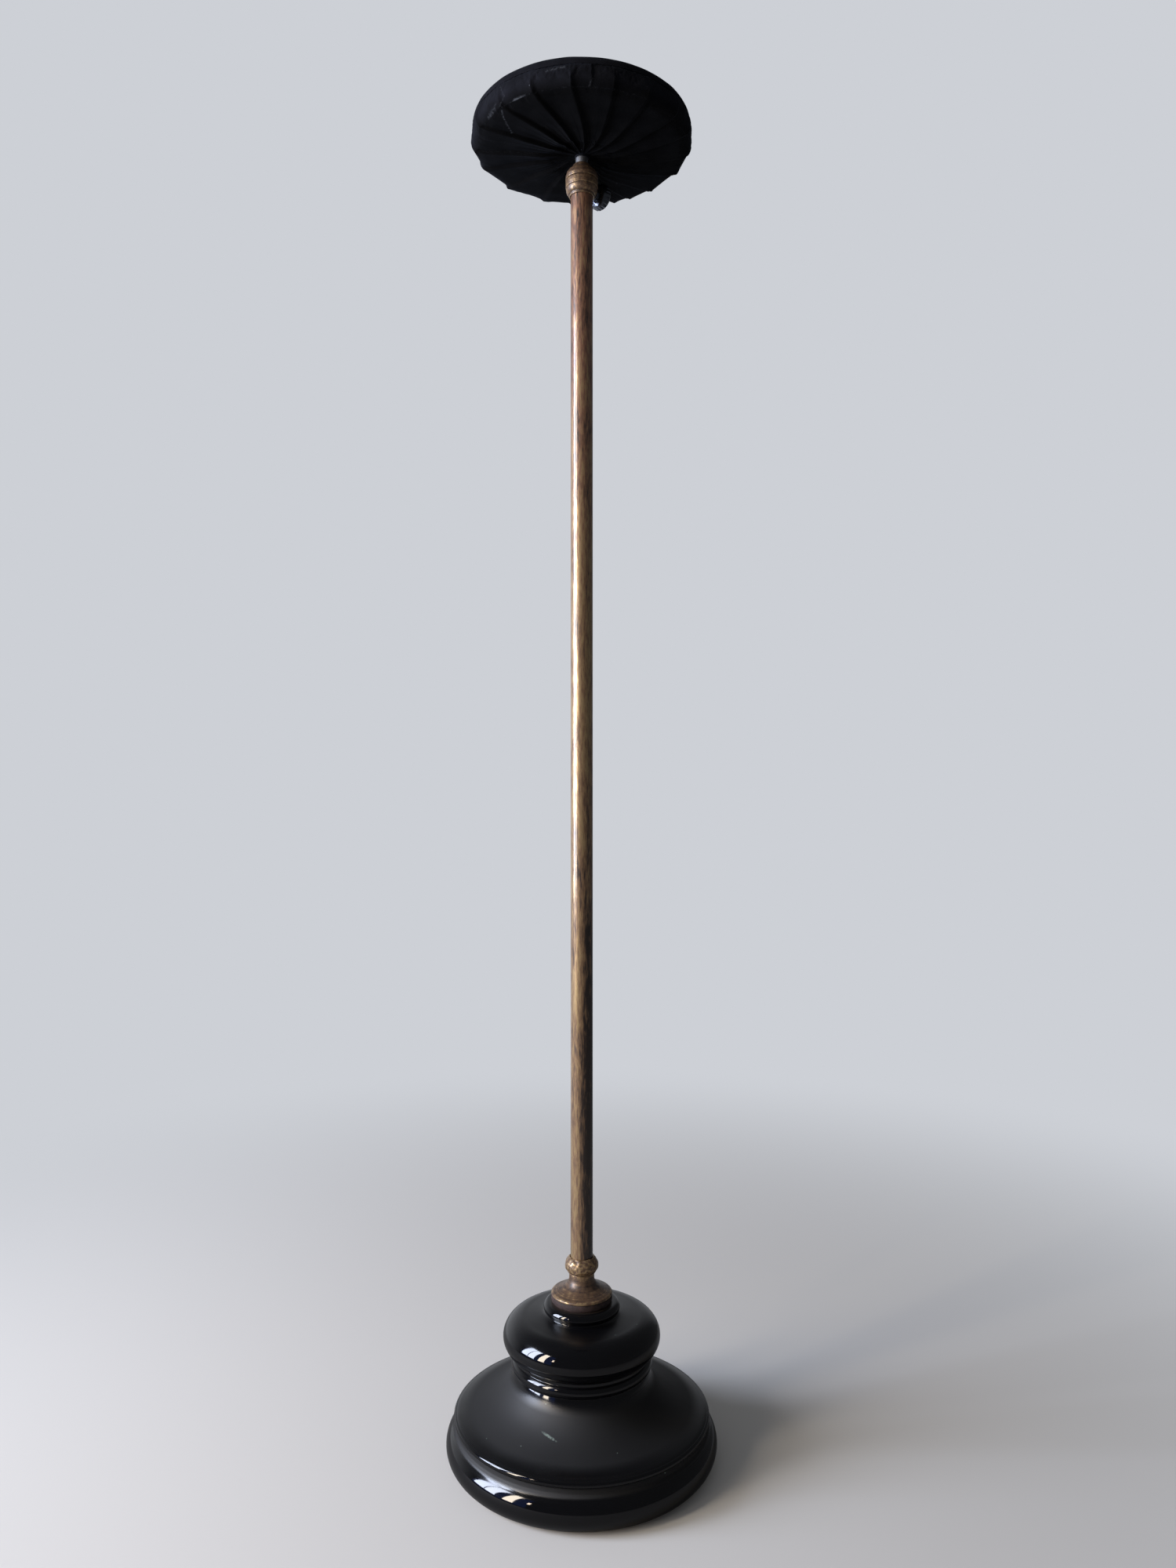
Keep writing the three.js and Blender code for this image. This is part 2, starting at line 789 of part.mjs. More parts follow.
function skirtSection(step) {
  const fold = pleatShapeShares[step % pleatShapeShares.length];
  const run = creaseRadius - gatherRadius;
  const under = bellyRunShares.map((share, i) => {
    const relief = fold * pleatDepth * pleatReliefShares[i];
    return at(gatherRadius + run * share, gatherLevel + bellyRise * share - relief * share ** 0.5);
  });
  const rim = [
    at(creaseRadius + fold * pleatBump, bellyLevel),
    at(padRadius + (fold - 1) * pleatBump / 2, widestLevel),
    at(bandTopRadius, bandTopLevel),
  ];
  const back = [
    at(bandTopRadius - clothThickness, bandTopLevel),
    at(padRadius - clothThickness - pleatBump / 2, widestLevel),
    at(creaseRadius - clothThickness / 2, bellyLevel + clothThickness),
    at(gatherRadius, gatherLevel + clothThickness),
  ];
  return [...under, ...rim, ...back];
}

function velvetSkirt() {
  return wrapped(skirtSection, pleatCount * pleatShapeShares.length);
}

function gatherThread() {
  const half = threadThickness / 2;
  const outline = arc(gatherRadius + half, gatherLevel - clothGap - half, half, half, 0, 360, 5);
  return turned(outline, smallFacets);
}

// The assembly
const stand = new THREE.Group();
const foot = new THREE.Group();
const column = new THREE.Group();
const clamp = new THREE.Group();
const slider = new THREE.Group();
const pad = new THREE.Group();
stand.add(foot, column, clamp, slider, pad);

function add(group, name, geometry, finish) {
  const mesh = new THREE.Mesh(geometry, finish);
  mesh.name = name;
  group.add(mesh);
  return mesh;
}

add(foot, "base", base(), glaze);
add(foot, "leather_washer", leatherWasher(), leather);
add(foot, "under_leather", underLeather(), leather);
add(foot, "tie_washer", tieWasher(), steel);
add(foot, "tie_nut", tieNut(), steel);
add(foot, "tie_stud", tieStud(), steel);

add(column, "foot_flange", footFlange(), agedBrass);
add(column, "column_bead", columnBead(), wornBrass);
add(column, "column_plug", columnPlug(), agedBrass);
add(column, "outer_tube", outerTube(), agedBrass);

add(clamp, "clamp_collar", clampCollar(), agedBrass);
add(clamp, "guide_bush", guideBush(), agedBrass);
add(clamp, "collar_cap", collarCap(), agedBrass);
add(clamp, "clamp_slug", clampSlug(), wornBrass);
add(clamp, "thumb_screw", thumbScrew(), nickel);

add(slider, "rod_guide", rodGuide(), wornBrass);
add(slider, "inner_rod", innerRod(), nickel);
add(slider, "end_screw", endScrew(), steel);

add(pad, "mounting_plate", mountingPlate(), agedBrass);
plateScrewPlaces().forEach((place, i) => {
  add(pad, `plate_screw_${i + 1}`, plateScrew(), steel).position.set(place.x, place.y, 0);
});
add(pad, "pad_board", padBoard(), beech);
add(pad, "pad_wadding", padWadding(), wadding);
add(pad, "velvet_skirt", velvetSkirt(), velvet);
add(pad, "velvet_crown", velvetCrown(), velvet);
add(pad, "gather_thread", gatherThread(), thread);

export default stand;
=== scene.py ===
# A milliner's table hat stand: a black glazed foot, an aged brass column with a clamp at its top, and a
# black velvet pad on a nickelled rod that slides and turns in the column. Laid out as a Blender add-on:
# the sizes and colours are scene properties, each piece has an operator, and main() calls them in order.
import math

import bmesh
import bpy
from bpy.props import FloatProperty, FloatVectorProperty, IntProperty, PointerProperty
from mathutils import Matrix, Vector, noise


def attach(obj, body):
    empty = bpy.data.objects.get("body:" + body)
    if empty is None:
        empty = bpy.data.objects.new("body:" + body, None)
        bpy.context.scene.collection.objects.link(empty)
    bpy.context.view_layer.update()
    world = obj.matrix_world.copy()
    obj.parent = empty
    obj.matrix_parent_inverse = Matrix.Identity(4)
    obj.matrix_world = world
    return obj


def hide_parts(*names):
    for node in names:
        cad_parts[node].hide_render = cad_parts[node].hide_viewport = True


bl_info = {
    "name": "Milliner's hat stand",
    "version": (1, 0, 0),
    "blender": (4, 5, 0),
    "location": "3D View > Sidebar > Hat stand",
    "description": "Dresses the packed hat stand with its detailed pieces, materials and studio",
    "category": "Object",
}

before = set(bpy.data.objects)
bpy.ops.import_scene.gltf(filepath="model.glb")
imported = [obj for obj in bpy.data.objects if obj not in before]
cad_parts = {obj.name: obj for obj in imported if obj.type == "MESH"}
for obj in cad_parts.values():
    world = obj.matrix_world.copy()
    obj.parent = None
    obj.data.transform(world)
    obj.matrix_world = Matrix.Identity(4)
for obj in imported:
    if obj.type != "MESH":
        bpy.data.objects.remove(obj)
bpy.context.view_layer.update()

# One millimetre in Blender's metres. Every outline below is in millimetres, with the radius first and the
# height above the floor second, at the places that the packed model gives its nodes.
MM = 0.001
# Points closer than this are one point
WELD = 1e-6


def linear(code):
    """An sRGB hex value as linear red, green and blue."""
    parts = [int(code[i : i + 2], 16) / 255 for i in (1, 3, 5)]
    return tuple(p / 12.92 if p <= 0.04045 else ((p + 0.055) / 1.055) ** 2.4 for p in parts)


def colour(name, description, code):
    """A colour property whose default is an sRGB hex value."""
    return FloatVectorProperty(
        name=name, description=description, subtype="COLOR", default=linear(code), min=0, max=1
    )


def length(name, description, millimetres, least=0.0):
    """A length property whose default is given in millimetres."""
    return FloatProperty(
        name=name, description=description, unit="LENGTH", default=millimetres * MM, min=least * MM,
        precision=5,
    )


class StandColours(bpy.types.PropertyGroup):
    """The colours of the stand's materials."""

    glaze: colour("Glaze", "Black glaze of the foot", "#050507")
    clay: colour("Clay", "Bare clay of the ring that the foot stands on", "#8a7866")
    leather: colour("Leather", "Dark brown leather of the washers", "#3b2a27")
    tarnish: colour("Tarnish", "Darkest tarnish on the brass", "#2f221b")
    patina: colour("Patina", "Brown patina over most of the tube", "#7a5f46")
    turned_patina: colour("Turned patina", "Duller patina of the turned brass", "#664f3c")
    brass: colour("Brass", "Brass where it is worn bright", "#bfa379")
    copper: colour("Coppery patina", "Redder patina near the top of the tube", "#845f4b")
    nickel: colour("Nickel", "Nickel plate of the rod and the thumb screw", "#b9bcc2")
    dulled: colour("Dulled nickel", "Nickel of the thumb screw, dulled by hands", "#6b6e77")
    steel: colour("Steel", "Plain steel of the nut, stud and screws", "#84868a")
    beech: colour("Beech", "Turned beech of the pad's board", "#b08a5a")
    cotton: colour("Cotton", "Cotton wadding in the pad", "#cfc8b8")
    velvet: colour("Velvet", "Black velvet of the pad", "#050506")
    velvet_sheen: colour("Velvet sheen", "Cool light that the velvet's pile catches", "#8d9bb8")
    # Painted sheen: this lighter blue grey on the pad's rim band stands in for the light that the upright
    # band catches.
    velvet_rim_painted_sheen: colour("Velvet dust", "Dust in the pile of the pad's rim", "#1c1d24")
    velvet_wear: colour("Velvet wear", "Backing that shows where the pile is rubbed off", "#70747c")
    thread: colour("Thread", "Dark blue linen thread", "#0c0f18")


class TurningSizes(bpy.types.PropertyGroup):
    """How finely the turned pieces are made."""

    steps: IntProperty(
        name="Steps round", description="Columns of faces round a turned piece", default=128, min=12
    )
    foot_steps: IntProperty(
        name="Steps round the foot", description="Columns of faces round the foot", default=224, min=24
    )
    edge: length("Edge rounding", "How far a turned metal edge is eased", 0.22)


class ThumbScrewSizes(bpy.types.PropertyGroup):
    """The thumb screw's knurled rim."""

    flutes: IntProperty(name="Flutes", description="Flutes round the knob's rim", default=20, min=6)
    depth: length("Flute depth", "Depth of each flute", 0.24)


class PadSizes(bpy.types.PropertyGroup):
    """The velvet pad."""

    cloth: length("Cloth thickness", "Thickness of the velvet with its pile", 0.8, 0.2)
    pleat_depth: length("Pleat depth", "How far a pleat stands out from the underside", 1.5)
    slant: FloatProperty(
        name="Pleat slant", description="Angle by which a pleat leans on its way in to the rod",
        subtype="ANGLE", default=math.radians(14),
    )
    steps: IntProperty(
        name="Steps round the skirt", description="Columns of faces round the skirt", default=720, min=72
    )
    slack: FloatProperty(
        name="Slack", description="How much larger the velvet is than its pattern", subtype="FACTOR",
        default=0.04, min=0, max=1,
    )
    pressure: FloatProperty(
        name="Pressure", description="How hard the wadding presses the velvet out", default=3.0
    )
    settling: IntProperty(
        name="Settling", description="Steps that the velvet's simulation runs for", default=20, min=1
    )
    give: length("Give", "About how far the simulation may move the velvet", 0.8, 0.05)
    stitches: IntProperty(
        name="Seam stitches", description="Stitches that join the crown to the skirt", default=104, min=12
    )


class ThreadSizes(bpy.types.PropertyGroup):
    """The thread round the gathered velvet."""

    turns: FloatProperty(name="Turns", description="Turns of thread round the gather", default=3.6, min=1)
    thickness: length("Thread thickness", "Diameter of the linen thread", 0.34, 0.1)


class StudioSizes(bpy.types.PropertyGroup):
    """The floor, the lamps and the camera."""

    backdrop: colour("Backdrop", "Pale backdrop behind the stand", "#cdd0d6")
    floor: colour("Floor", "Pale floor under the stand", "#d8d5d0")
    fill: FloatProperty(
        name="Fill", description="Strength of the soft light from all round", default=0.26, min=0
    )
    dim: FloatProperty(
        name="Dim side",
        description="How bright the surroundings in front of the stand are where gloss mirrors them",
        subtype="FACTOR", default=0.1, min=0, max=1,
    )
    lamps: FloatProperty(
        name="Lamps", description="Watts for each square metre of the tall soft lamps on the left",
        default=60, min=0,
    )
    glow: FloatProperty(
        name="Blue glow",
        description="Brightness of the wide blue panel behind the lamps, as a share of theirs",
        subtype="FACTOR", default=0.03, min=0, max=1,
    )
    lens: FloatProperty(
        name="Lens", description="Focal length of the camera", subtype="DISTANCE_CAMERA", default=26.01, min=1
    )


GROUPS = {
    "stand_colours": StandColours,
    "turning_sizes": TurningSizes,
    "thumb_screw_sizes": ThumbScrewSizes,
    "pad_sizes": PadSizes,
    "gather_thread_sizes": ThreadSizes,
    "studio_sizes": StudioSizes,
}


# Node trees


def add_node(tree, kind, inputs=None, stops=(), **settings):
    """Adds one node. inputs maps a socket's name or number to a value or to the socket that feeds it."""
    node = tree.nodes.new(kind)
    for key, value in settings.items():
        setattr(node, key, value)
    for key, value in (inputs or {}).items():
        if isinstance(value, bpy.types.NodeSocket):
            tree.links.new(value, node.inputs[key])
        else:
            node.inputs[key].default_value = value
    for number, (place, shade) in enumerate(stops):
        ramp = node.color_ramp.elements
        stop = ramp[number] if number < 2 else ramp.new(place)
        stop.position = place
        stop.color = shade
    return node


def paint(tint, share=1.0):
    """A colour as a node's socket takes it, made darker or lighter by a share."""
    return (*[part * share for part in tint], 1)


def grey(level):
    """A grey as a colour ramp takes it."""
    return paint((level, level, level))


def new_tree(name, inputs):
    """A geometry tree with the inputs named, which are (name, kind of socket, default) each."""
    tree = bpy.data.node_groups.new(name, "GeometryNodeTree")
    tree.interface.new_socket("Geometry", in_out="OUTPUT", socket_type="NodeSocketGeometry")
    for label, kind, default in inputs:
        socket = tree.interface.new_socket(label, in_out="INPUT", socket_type=kind)
        if default is not None:
            socket.default_value = default
    return tree, add_node(tree, "NodeGroupInput").outputs, add_node(tree, "NodeGroupOutput").inputs


def finished_by(tree, piece, **values):
    """Runs a geometry tree on a piece with the inputs given by name, and keeps the result as a plain mesh."""
    modifier = piece.modifiers.new(tree.name, "NODES")
    modifier.node_group = tree
    for item in tree.interface.items_tree:
        if item.in_out == "INPUT" and item.name in values:
            modifier[item.identifier] = values[item.name]
    return made_plain(piece)


def made_plain(piece):
    """Turns a piece with its modifiers into a plain mesh, and takes the modifiers away."""
    graph = bpy.context.evaluated_depsgraph_get()
    mesh = bpy.data.meshes.new_from_object(piece.evaluated_get(graph))
    mesh.name = piece.name
    piece.modifiers.clear()
    before = piece.data
    piece.data = mesh
    bpy.data.meshes.remove(before)
    return piece


def ended(tree, geometry, given, result):
    """Ends a geometry tree: its copies are made real and its faces take the material."""
    real = add_node(tree, "GeometryNodeRealizeInstances", {"Geometry": geometry}).outputs[0]
    finish = add_node(tree, "GeometryNodeSetMaterial", {"Geometry": real, "Material": given["Material"]})
    tree.links.new(finish.outputs[0], result[0])
    return tree


def turning_tree():
    """The lathe: a grid whose columns are copies of the outline, turned round the axis in equal steps."""
    name = "Turned piece"
    if name in bpy.data.node_groups:
        return bpy.data.node_groups[name]
    tree, given, result = new_tree(
        name,
        (
            ("Outline", "NodeSocketGeometry", None),
            ("Steps round", "NodeSocketInt", 128),
            ("Material", "NodeSocketMaterial", None),
        ),
    )
    count = add_node(
        tree, "GeometryNodeAttributeDomainSize", {"Geometry": given["Outline"]}
    ).outputs["Point Count"]
    columns = add_node(tree, "ShaderNodeMath", {0: given["Steps round"], 1: 1.0}, operation="ADD").outputs[0]
    grid = add_node(
        tree, "GeometryNodeMeshGrid", {"Vertices X": columns, "Vertices Y": count}
    ).outputs["Mesh"]
    number = add_node(tree, "GeometryNodeInputIndex").outputs[0]
    share = add_node(tree, "ShaderNodeMath", {0: number, 1: count}, operation="DIVIDE").outputs[0]
    column = add_node(tree, "ShaderNodeMath", {0: share}, operation="FLOOR").outputs[0]
    row = add_node(tree, "ShaderNodeMath", {0: number, 1: count}, operation="MODULO").outputs[0]
    place = add_node(tree, "GeometryNodeInputPosition").outputs[0]
    sample = add_node(
        tree, "GeometryNodeSampleIndex",
        {"Geometry": given["Outline"], "Index": row}, data_type="FLOAT_VECTOR",
    )
    tree.links.new(place, sample.inputs["Value"])
    point = add_node(tree, "ShaderNodeSeparateXYZ", {0: sample.outputs["Value"]}).outputs
    part = add_node(
        tree, "ShaderNodeMath", {0: column, 1: given["Steps round"]}, operation="DIVIDE"
    ).outputs[0]
    angle = add_node(tree, "ShaderNodeMath", {0: part, 1: math.tau}, operation="MULTIPLY").outputs[0]
    across = []
    for kind in ("COSINE", "SINE"):
        part = add_node(tree, "ShaderNodeMath", {0: angle}, operation=kind).outputs[0]
        way = add_node(tree, "ShaderNodeMath", {0: point[0], 1: part}, operation="MULTIPLY").outputs[0]
        across.append(way)
    turned = add_node(tree, "ShaderNodeCombineXYZ", {0: across[0], 1: across[1], 2: point[2]}).outputs[0]
    moved = add_node(tree, "GeometryNodeSetPosition", {"Geometry": grid, "Position": turned}).outputs[0]
    joined = add_node(tree, "GeometryNodeMergeByDistance", {"Geometry": moved, "Distance": WELD}).outputs[0]
    return ended(tree, joined, given, result)


def winding_tree():
    """A thread wound round the axis: a spiral with a round section swept along it."""
    name = "Winding"
    if name in bpy.data.node_groups:
        return bpy.data.node_groups[name]
    tree, given, result = new_tree(
        name,
        (
            ("Turns", "NodeSocketFloat", 3.0),
            ("Radius", "NodeSocketFloat", 0.0037),
            ("Bottom", "NodeSocketFloat", 0.0),
            ("Rise", "NodeSocketFloat", 0.001),
            ("Thickness", "NodeSocketFloat", 0.0003),
            ("Steps", "NodeSocketInt", 40),
            ("Sides", "NodeSocketInt", 8),
            ("Material", "NodeSocketMaterial", None),
        ),
    )
    spiral = add_node(
        tree, "GeometryNodeCurveSpiral",
        {
            "Resolution": given["Steps"], "Rotations": given["Turns"], "Start Radius": given["Radius"],
            "End Radius": given["Radius"], "Height": given["Rise"],
        },
    ).outputs[0]
    lift = add_node(tree, "ShaderNodeCombineXYZ", {2: given["Bottom"]}).outputs[0]
    path = add_node(tree, "GeometryNodeSetPosition", {"Geometry": spiral, "Offset": lift}).outputs[0]
    half = add_node(tree, "ShaderNodeMath", {0: given["Thickness"], 1: 0.5}, operation="MULTIPLY").outputs[0]
    section = add_node(
        tree, "GeometryNodeCurvePrimitiveCircle", {"Resolution": given["Sides"], "Radius": half}
    ).outputs[0]
    swept = add_node(
        tree, "GeometryNodeCurveToMesh", {"Curve": path, "Profile Curve": section, "Fill Caps": True}
    ).outputs[0]
    return ended(tree, swept, given, result)


def flute_tree():
    """Flutes round a rim: points on the rim's band are drawn in by a wave that follows the angle."""
    name = "Fluted rim"
    if name in bpy.data.node_groups:
        return bpy.data.node_groups[name]
    tree, given, result = new_tree(
        name,
        (
            ("Knob", "NodeSocketGeometry", None),
            ("Flutes", "NodeSocketInt", 20),
            ("Depth", "NodeSocketFloat", 0.0002),
            ("Rim radius", "NodeSocketFloat", 0.0057),
            ("Rounding", "NodeSocketFloat", 0.0004),
            ("Material", "NodeSocketMaterial", None),
        ),
    )
    place = add_node(tree, "GeometryNodeInputPosition").outputs[0]
    part = add_node(tree, "ShaderNodeSeparateXYZ", {0: place}).outputs
    angle = add_node(tree, "ShaderNodeMath", {0: part[1], 1: part[0]}, operation="ARCTAN2").outputs[0]
    phase = add_node(tree, "ShaderNodeMath", {0: angle, 1: given["Flutes"]}, operation="MULTIPLY").outputs[0]
    wave = add_node(tree, "ShaderNodeMath", {0: phase}, operation="COSINE").outputs[0]
    hollow = add_node(tree, "ShaderNodeMapRange", {0: wave, 1: -0.2, 2: 1.0, 3: 0.0, 4: 1.0}).outputs[0]
    flat = add_node(tree, "ShaderNodeCombineXYZ", {0: part[0], 1: part[1]}).outputs[0]
    radius = add_node(tree, "ShaderNodeVectorMath", {0: flat}, operation="LENGTH").outputs["Value"]
    inner = add_node(
        tree, "ShaderNodeMath", {0: given["Rim radius"], 1: given["Rounding"]}, operation="SUBTRACT"
    ).outputs[0]
    band = add_node(
        tree, "ShaderNodeMapRange", {0: radius, 1: inner, 2: given["Rim radius"], 3: 0.0, 4: 1.0}
    ).outputs[0]
    amount = add_node(tree, "ShaderNodeMath", {0: hollow, 1: band}, operation="MULTIPLY").outputs[0]
    depth = add_node(tree, "ShaderNodeMath", {0: amount, 1: given["Depth"]}, operation="MULTIPLY").outputs[0]
    inward = add_node(tree, "ShaderNodeMath", {0: depth, 1: -1.0}, operation="MULTIPLY").outputs[0]
    outward = add_node(tree, "ShaderNodeVectorMath", {0: flat}, operation="NORMALIZE").outputs["Vector"]
    offset = add_node(
        tree, "ShaderNodeVectorMath", {0: outward, "Scale": inward}, operation="SCALE"
    ).outputs["Vector"]
    moved = add_node(
        tree, "GeometryNodeSetPosition", {"Geometry": given["Knob"], "Offset": offset}
    ).outputs[0]
    return ended(tree, moved, given, result)


def stitch_tree():
    """A row of slip stitches: short bowed threads in equal steps round a ring."""
    name = "Row of stitches"
    if name in bpy.data.node_groups:
        return bpy.data.node_groups[name]
    tree, given, result = new_tree(
        name,
        (
            ("Count", "NodeSocketInt", 80),
            ("Ring radius", "NodeSocketFloat", 0.049),
            ("Level", "NodeSocketFloat", 0.594),
            ("Stitch length", "NodeSocketFloat", 0.0018),
            ("Thickness", "NodeSocketFloat", 0.0003),
            ("Material", "NodeSocketMaterial", None),
        ),
    )
    ring = add_node(
        tree, "GeometryNodeMeshCircle", {"Vertices": given["Count"], "Radius": given["Ring radius"]}
    ).outputs[0]
    lift = add_node(tree, "ShaderNodeCombineXYZ", {2: given["Level"]}).outputs[0]
    seats = add_node(tree, "GeometryNodeSetPosition", {"Geometry": ring, "Offset": lift}).outputs[0]
    half = add_node(
        tree, "ShaderNodeMath", {0: given["Stitch length"], 1: 0.5}, operation="MULTIPLY"
    ).outputs[0]
    back = add_node(tree, "ShaderNodeMath", {0: half, 1: -1.0}, operation="MULTIPLY").outputs[0]
    start = add_node(tree, "ShaderNodeCombineXYZ", {0: back, 2: half}).outputs[0]
    end = add_node(tree, "ShaderNodeCombineXYZ", {0: half, 2: back}).outputs[0]
    bow = add_node(tree, "ShaderNodeCombineXYZ", {1: given["Thickness"]}).outputs[0]
    path = add_node(
        tree, "GeometryNodeCurveQuadraticBezier", {"Resolution": 5, "Start": start, "Middle": bow, "End": end}
    ).outputs[0]
    radius = add_node(
        tree, "ShaderNodeMath", {0: given["Thickness"], 1: 0.5}, operation="MULTIPLY"
    ).outputs[0]
    section = add_node(
        tree, "GeometryNodeCurvePrimitiveCircle", {"Resolution": 6, "Radius": radius}
    ).outputs[0]
    stitch = add_node(
        tree, "GeometryNodeCurveToMesh", {"Curve": path, "Profile Curve": section, "Fill Caps": True}
    ).outputs[0]
    place = add_node(tree, "GeometryNodeInputPosition").outputs[0]
    outward = add_node(
        tree, "ShaderNodeVectorMath", {0: place, 1: (1, 1, 0)}, operation="MULTIPLY"
    ).outputs["Vector"]
    turn = add_node(
        tree, "FunctionNodeAlignRotationToVector", {"Vector": outward}, axis="Y", pivot_axis="Z"
    ).outputs[0]
    copies = add_node(
        tree, "GeometryNodeInstanceOnPoints", {"Points": seats, "Instance": stitch, "Rotation": turn}
    ).outputs[0]
    return ended(tree, copies, given, result)


# Outlines and meshes


def arc(radius, height, across, up, start, end, steps):
    """Points on an ellipse round (radius, height), from one angle to another in degrees."""
    points = []
    for i in range(steps + 1):
        angle = math.radians(start + (end - start) * i / steps)
        points.append((radius + across * math.cos(angle), height + up * math.sin(angle)))
    return points


def flow(a, b, c, d, steps):
    """Points on a cubic curve from a to d, pulled towards b and c."""
    points = []
    for i in range(steps + 1):
        t = i / steps
        weights = ((1 - t) ** 3, 3 * t * (1 - t) ** 2, 3 * t * t * (1 - t), t**3)
        points.append(tuple(sum(w * p[k] for w, p in zip(weights, (a, b, c, d))) for k in (0, 1)))
    return points


def eased(outline, size, turn=24):
    """The outline with each corner sharper than turn degrees replaced by a small curve."""
    closed = outline[0] == outline[-1]
    points = [Vector(p) for p in (outline[:-1] if closed else outline)]
    result = []
    for i, point in enumerate(points):
        if not closed and i in (0, len(points) - 1):
            result.append(tuple(point))
            continue
        before = points[i - 1] - point
        after = points[(i + 1) % len(points)] - point
        if math.degrees(math.pi - before.angle(after, math.pi)) < turn:
            result.append(tuple(point))
            continue
        first = point + before.normalized() * min(size, before.length * 0.4)
        last = point + after.normalized() * min(size, after.length * 0.4)
        for t in (0, 0.25, 0.5, 0.75, 1):
            result.append(tuple(first * (1 - t) ** 2 + point * 2 * t * (1 - t) + last * t * t))
    if closed:
        result.append(result[0])
    return result


def new_piece(name, mesh):
    """An object at the origin, in the scene's own collection."""
    piece = bpy.data.objects.new(name, mesh)
    bpy.context.scene.collection.objects.link(piece)
    return piece


def faced(piece, sharp=38):
    """Turns a closed piece's faces outwards and shades it smooth up to its sharp edges."""
    work = bmesh.new()
    work.from_mesh(piece.data)
    bmesh.ops.remove_doubles(work, verts=work.verts, dist=WELD)
    bmesh.ops.recalc_face_normals(work, faces=work.faces)
    work.to_mesh(piece.data)
    work.free()
    piece.data.shade_smooth()
    piece.data.set_sharp_from_angle(angle=math.radians(sharp))
    return piece


def turned(name, outline, material, steps):
    """A piece turned from an outline in millimetres, as a plain closed mesh."""
    mesh = bpy.data.meshes.new(name)
    vertices = [(r * MM, 0, z * MM) for r, z in outline]
    mesh.from_pydata(vertices, [(i, i + 1) for i in range(len(vertices) - 1)], [])
    piece = new_piece(name, mesh)
    finished_by(turning_tree(), piece, **{"Steps round": steps, "Material": material})
    return faced(piece)


def ring(inner, outer, bottom, top):
    """The closed outline of a plain ring."""
    return [(inner, bottom), (outer, bottom), (outer, top), (inner, top), (inner, bottom)]


def battered(piece, amount, size, seed=0):
    """Moves each vertex along its normal by smooth noise, amount and size in millimetres."""
    mesh = piece.data
    shift = Vector((seed, seed, seed))
    moves = [noise.noise(v.co / (size * MM) + shift) * amount * MM for v in mesh.vertices]
    normals = [v.normal.copy() for v in mesh.vertices]
    for vertex, normal, move in zip(mesh.vertices, normals, moves):
        vertex.co += normal * move
    return piece


def marked(piece, name, value_of):
    """Stores a number at each vertex, for a material to read by its name."""
    mesh = piece.data
    layer = mesh.attributes.new(name, "FLOAT", "POINT")
    for vertex, item in zip(mesh.vertices, layer.data):
        item.value = value_of(vertex)
    return piece


def edged(piece, reach=1.4):
    """Marks a turned piece's edges: 1 on a sharp outer edge, -1 in a sharp hollow and 0 on the flat."""
    mesh = piece.data
    bend = [0.0] * len(mesh.vertices)
    count = [0] * len(mesh.vertices)
    for first, second in (edge.vertices for edge in mesh.edges):
        along = (mesh.vertices[second].co - mesh.vertices[first].co).normalized()
        for here, way in ((first, along), (second, -along)):
            bend[here] -= mesh.vertices[here].normal.dot(way)
            count[here] += 1
    return marked(piece, "edge", lambda v: max(-1.0, min(1.0, reach * 4 * bend[v.index] / count[v.index])))


def settled(piece, body, slot, *nodes):
    """Says which body a piece rides on and which packed solids it stands for, and hides those. slot, the name
    of its finish, is not used.
    """
    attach(piece, body)
    if nodes:
        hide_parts(*nodes)
    return piece


# Materials


def new_finish(name, **sockets):
    """A material with a fresh Principled shader, whose sockets are set by name. Pieces share it by name."""
    material = bpy.data.materials.get(name) or bpy.data.materials.new(name)
    material.use_nodes = True
    tree = material.node_tree
    tree.nodes.clear()
    shader = add_node(tree, "ShaderNodeBsdfPrincipled")
    for socket, value in sockets.items():
        shader.inputs[socket.replace("_", " ")].default_value = value
    add_node(tree, "ShaderNodeOutputMaterial", {"Surface": shader.outputs[0]})
    return material, tree, shader.inputs


def in_millimetres(tree, across=1.0, along=1.0):
    """Object coordinates in millimetres, so that a pattern's scale is 1 over the real size of its grain. A
    share below 1 draws a pattern out, across or along the column."""
    place = add_node(tree, "ShaderNodeTexCoord").outputs["Object"]
    scale = (across / MM, across / MM, along / MM)
    return add_node(tree, "ShaderNodeMapping", {"Vector": place, "Scale": scale}).outputs["Vector"]


def surfaced(tree, surface, shade, relief, strength, height, rough=None):
    """Gives a shader its colour, a fine relief of a height in millimetres, and its roughness if it varies."""
    tree.links.new(shade, surface["Base Color"])
    if rough:
        tree.links.new(rough, surface["Roughness"])
    rise = add_node(
        tree, "ShaderNodeBump", {"Height": relief, "Strength": strength, "Distance": height * MM}
    ).outputs[0]
    tree.links.new(rise, surface["Normal"])


def scattered(tree, place, apart, size, rare):
    """1 on spots strewn about apart millimetres from each other, whose edge fades out over the share size of
    that. rare is the share of them that is left out."""
    cells = add_node(
        tree, "ShaderNodeTexVoronoi", {"Vector": place, "Scale": 1 / apart}, feature="F1"
    ).outputs
    spot = add_node(
        tree, "ShaderNodeMapRange", {0: cells["Distance"], 1: 0.03, 2: size, 3: 1.0, 4: 0.0}
    ).outputs[0]
    lot = add_node(tree, "ShaderNodeSeparateColor", {0: cells["Color"]}).outputs[0]
    kept = add_node(tree, "ShaderNodeMath", {0: lot, 1: rare}, operation="GREATER_THAN").outputs[0]
    return add_node(tree, "ShaderNodeMath", {0: spot, 1: kept}, operation="MULTIPLY").outputs[0]


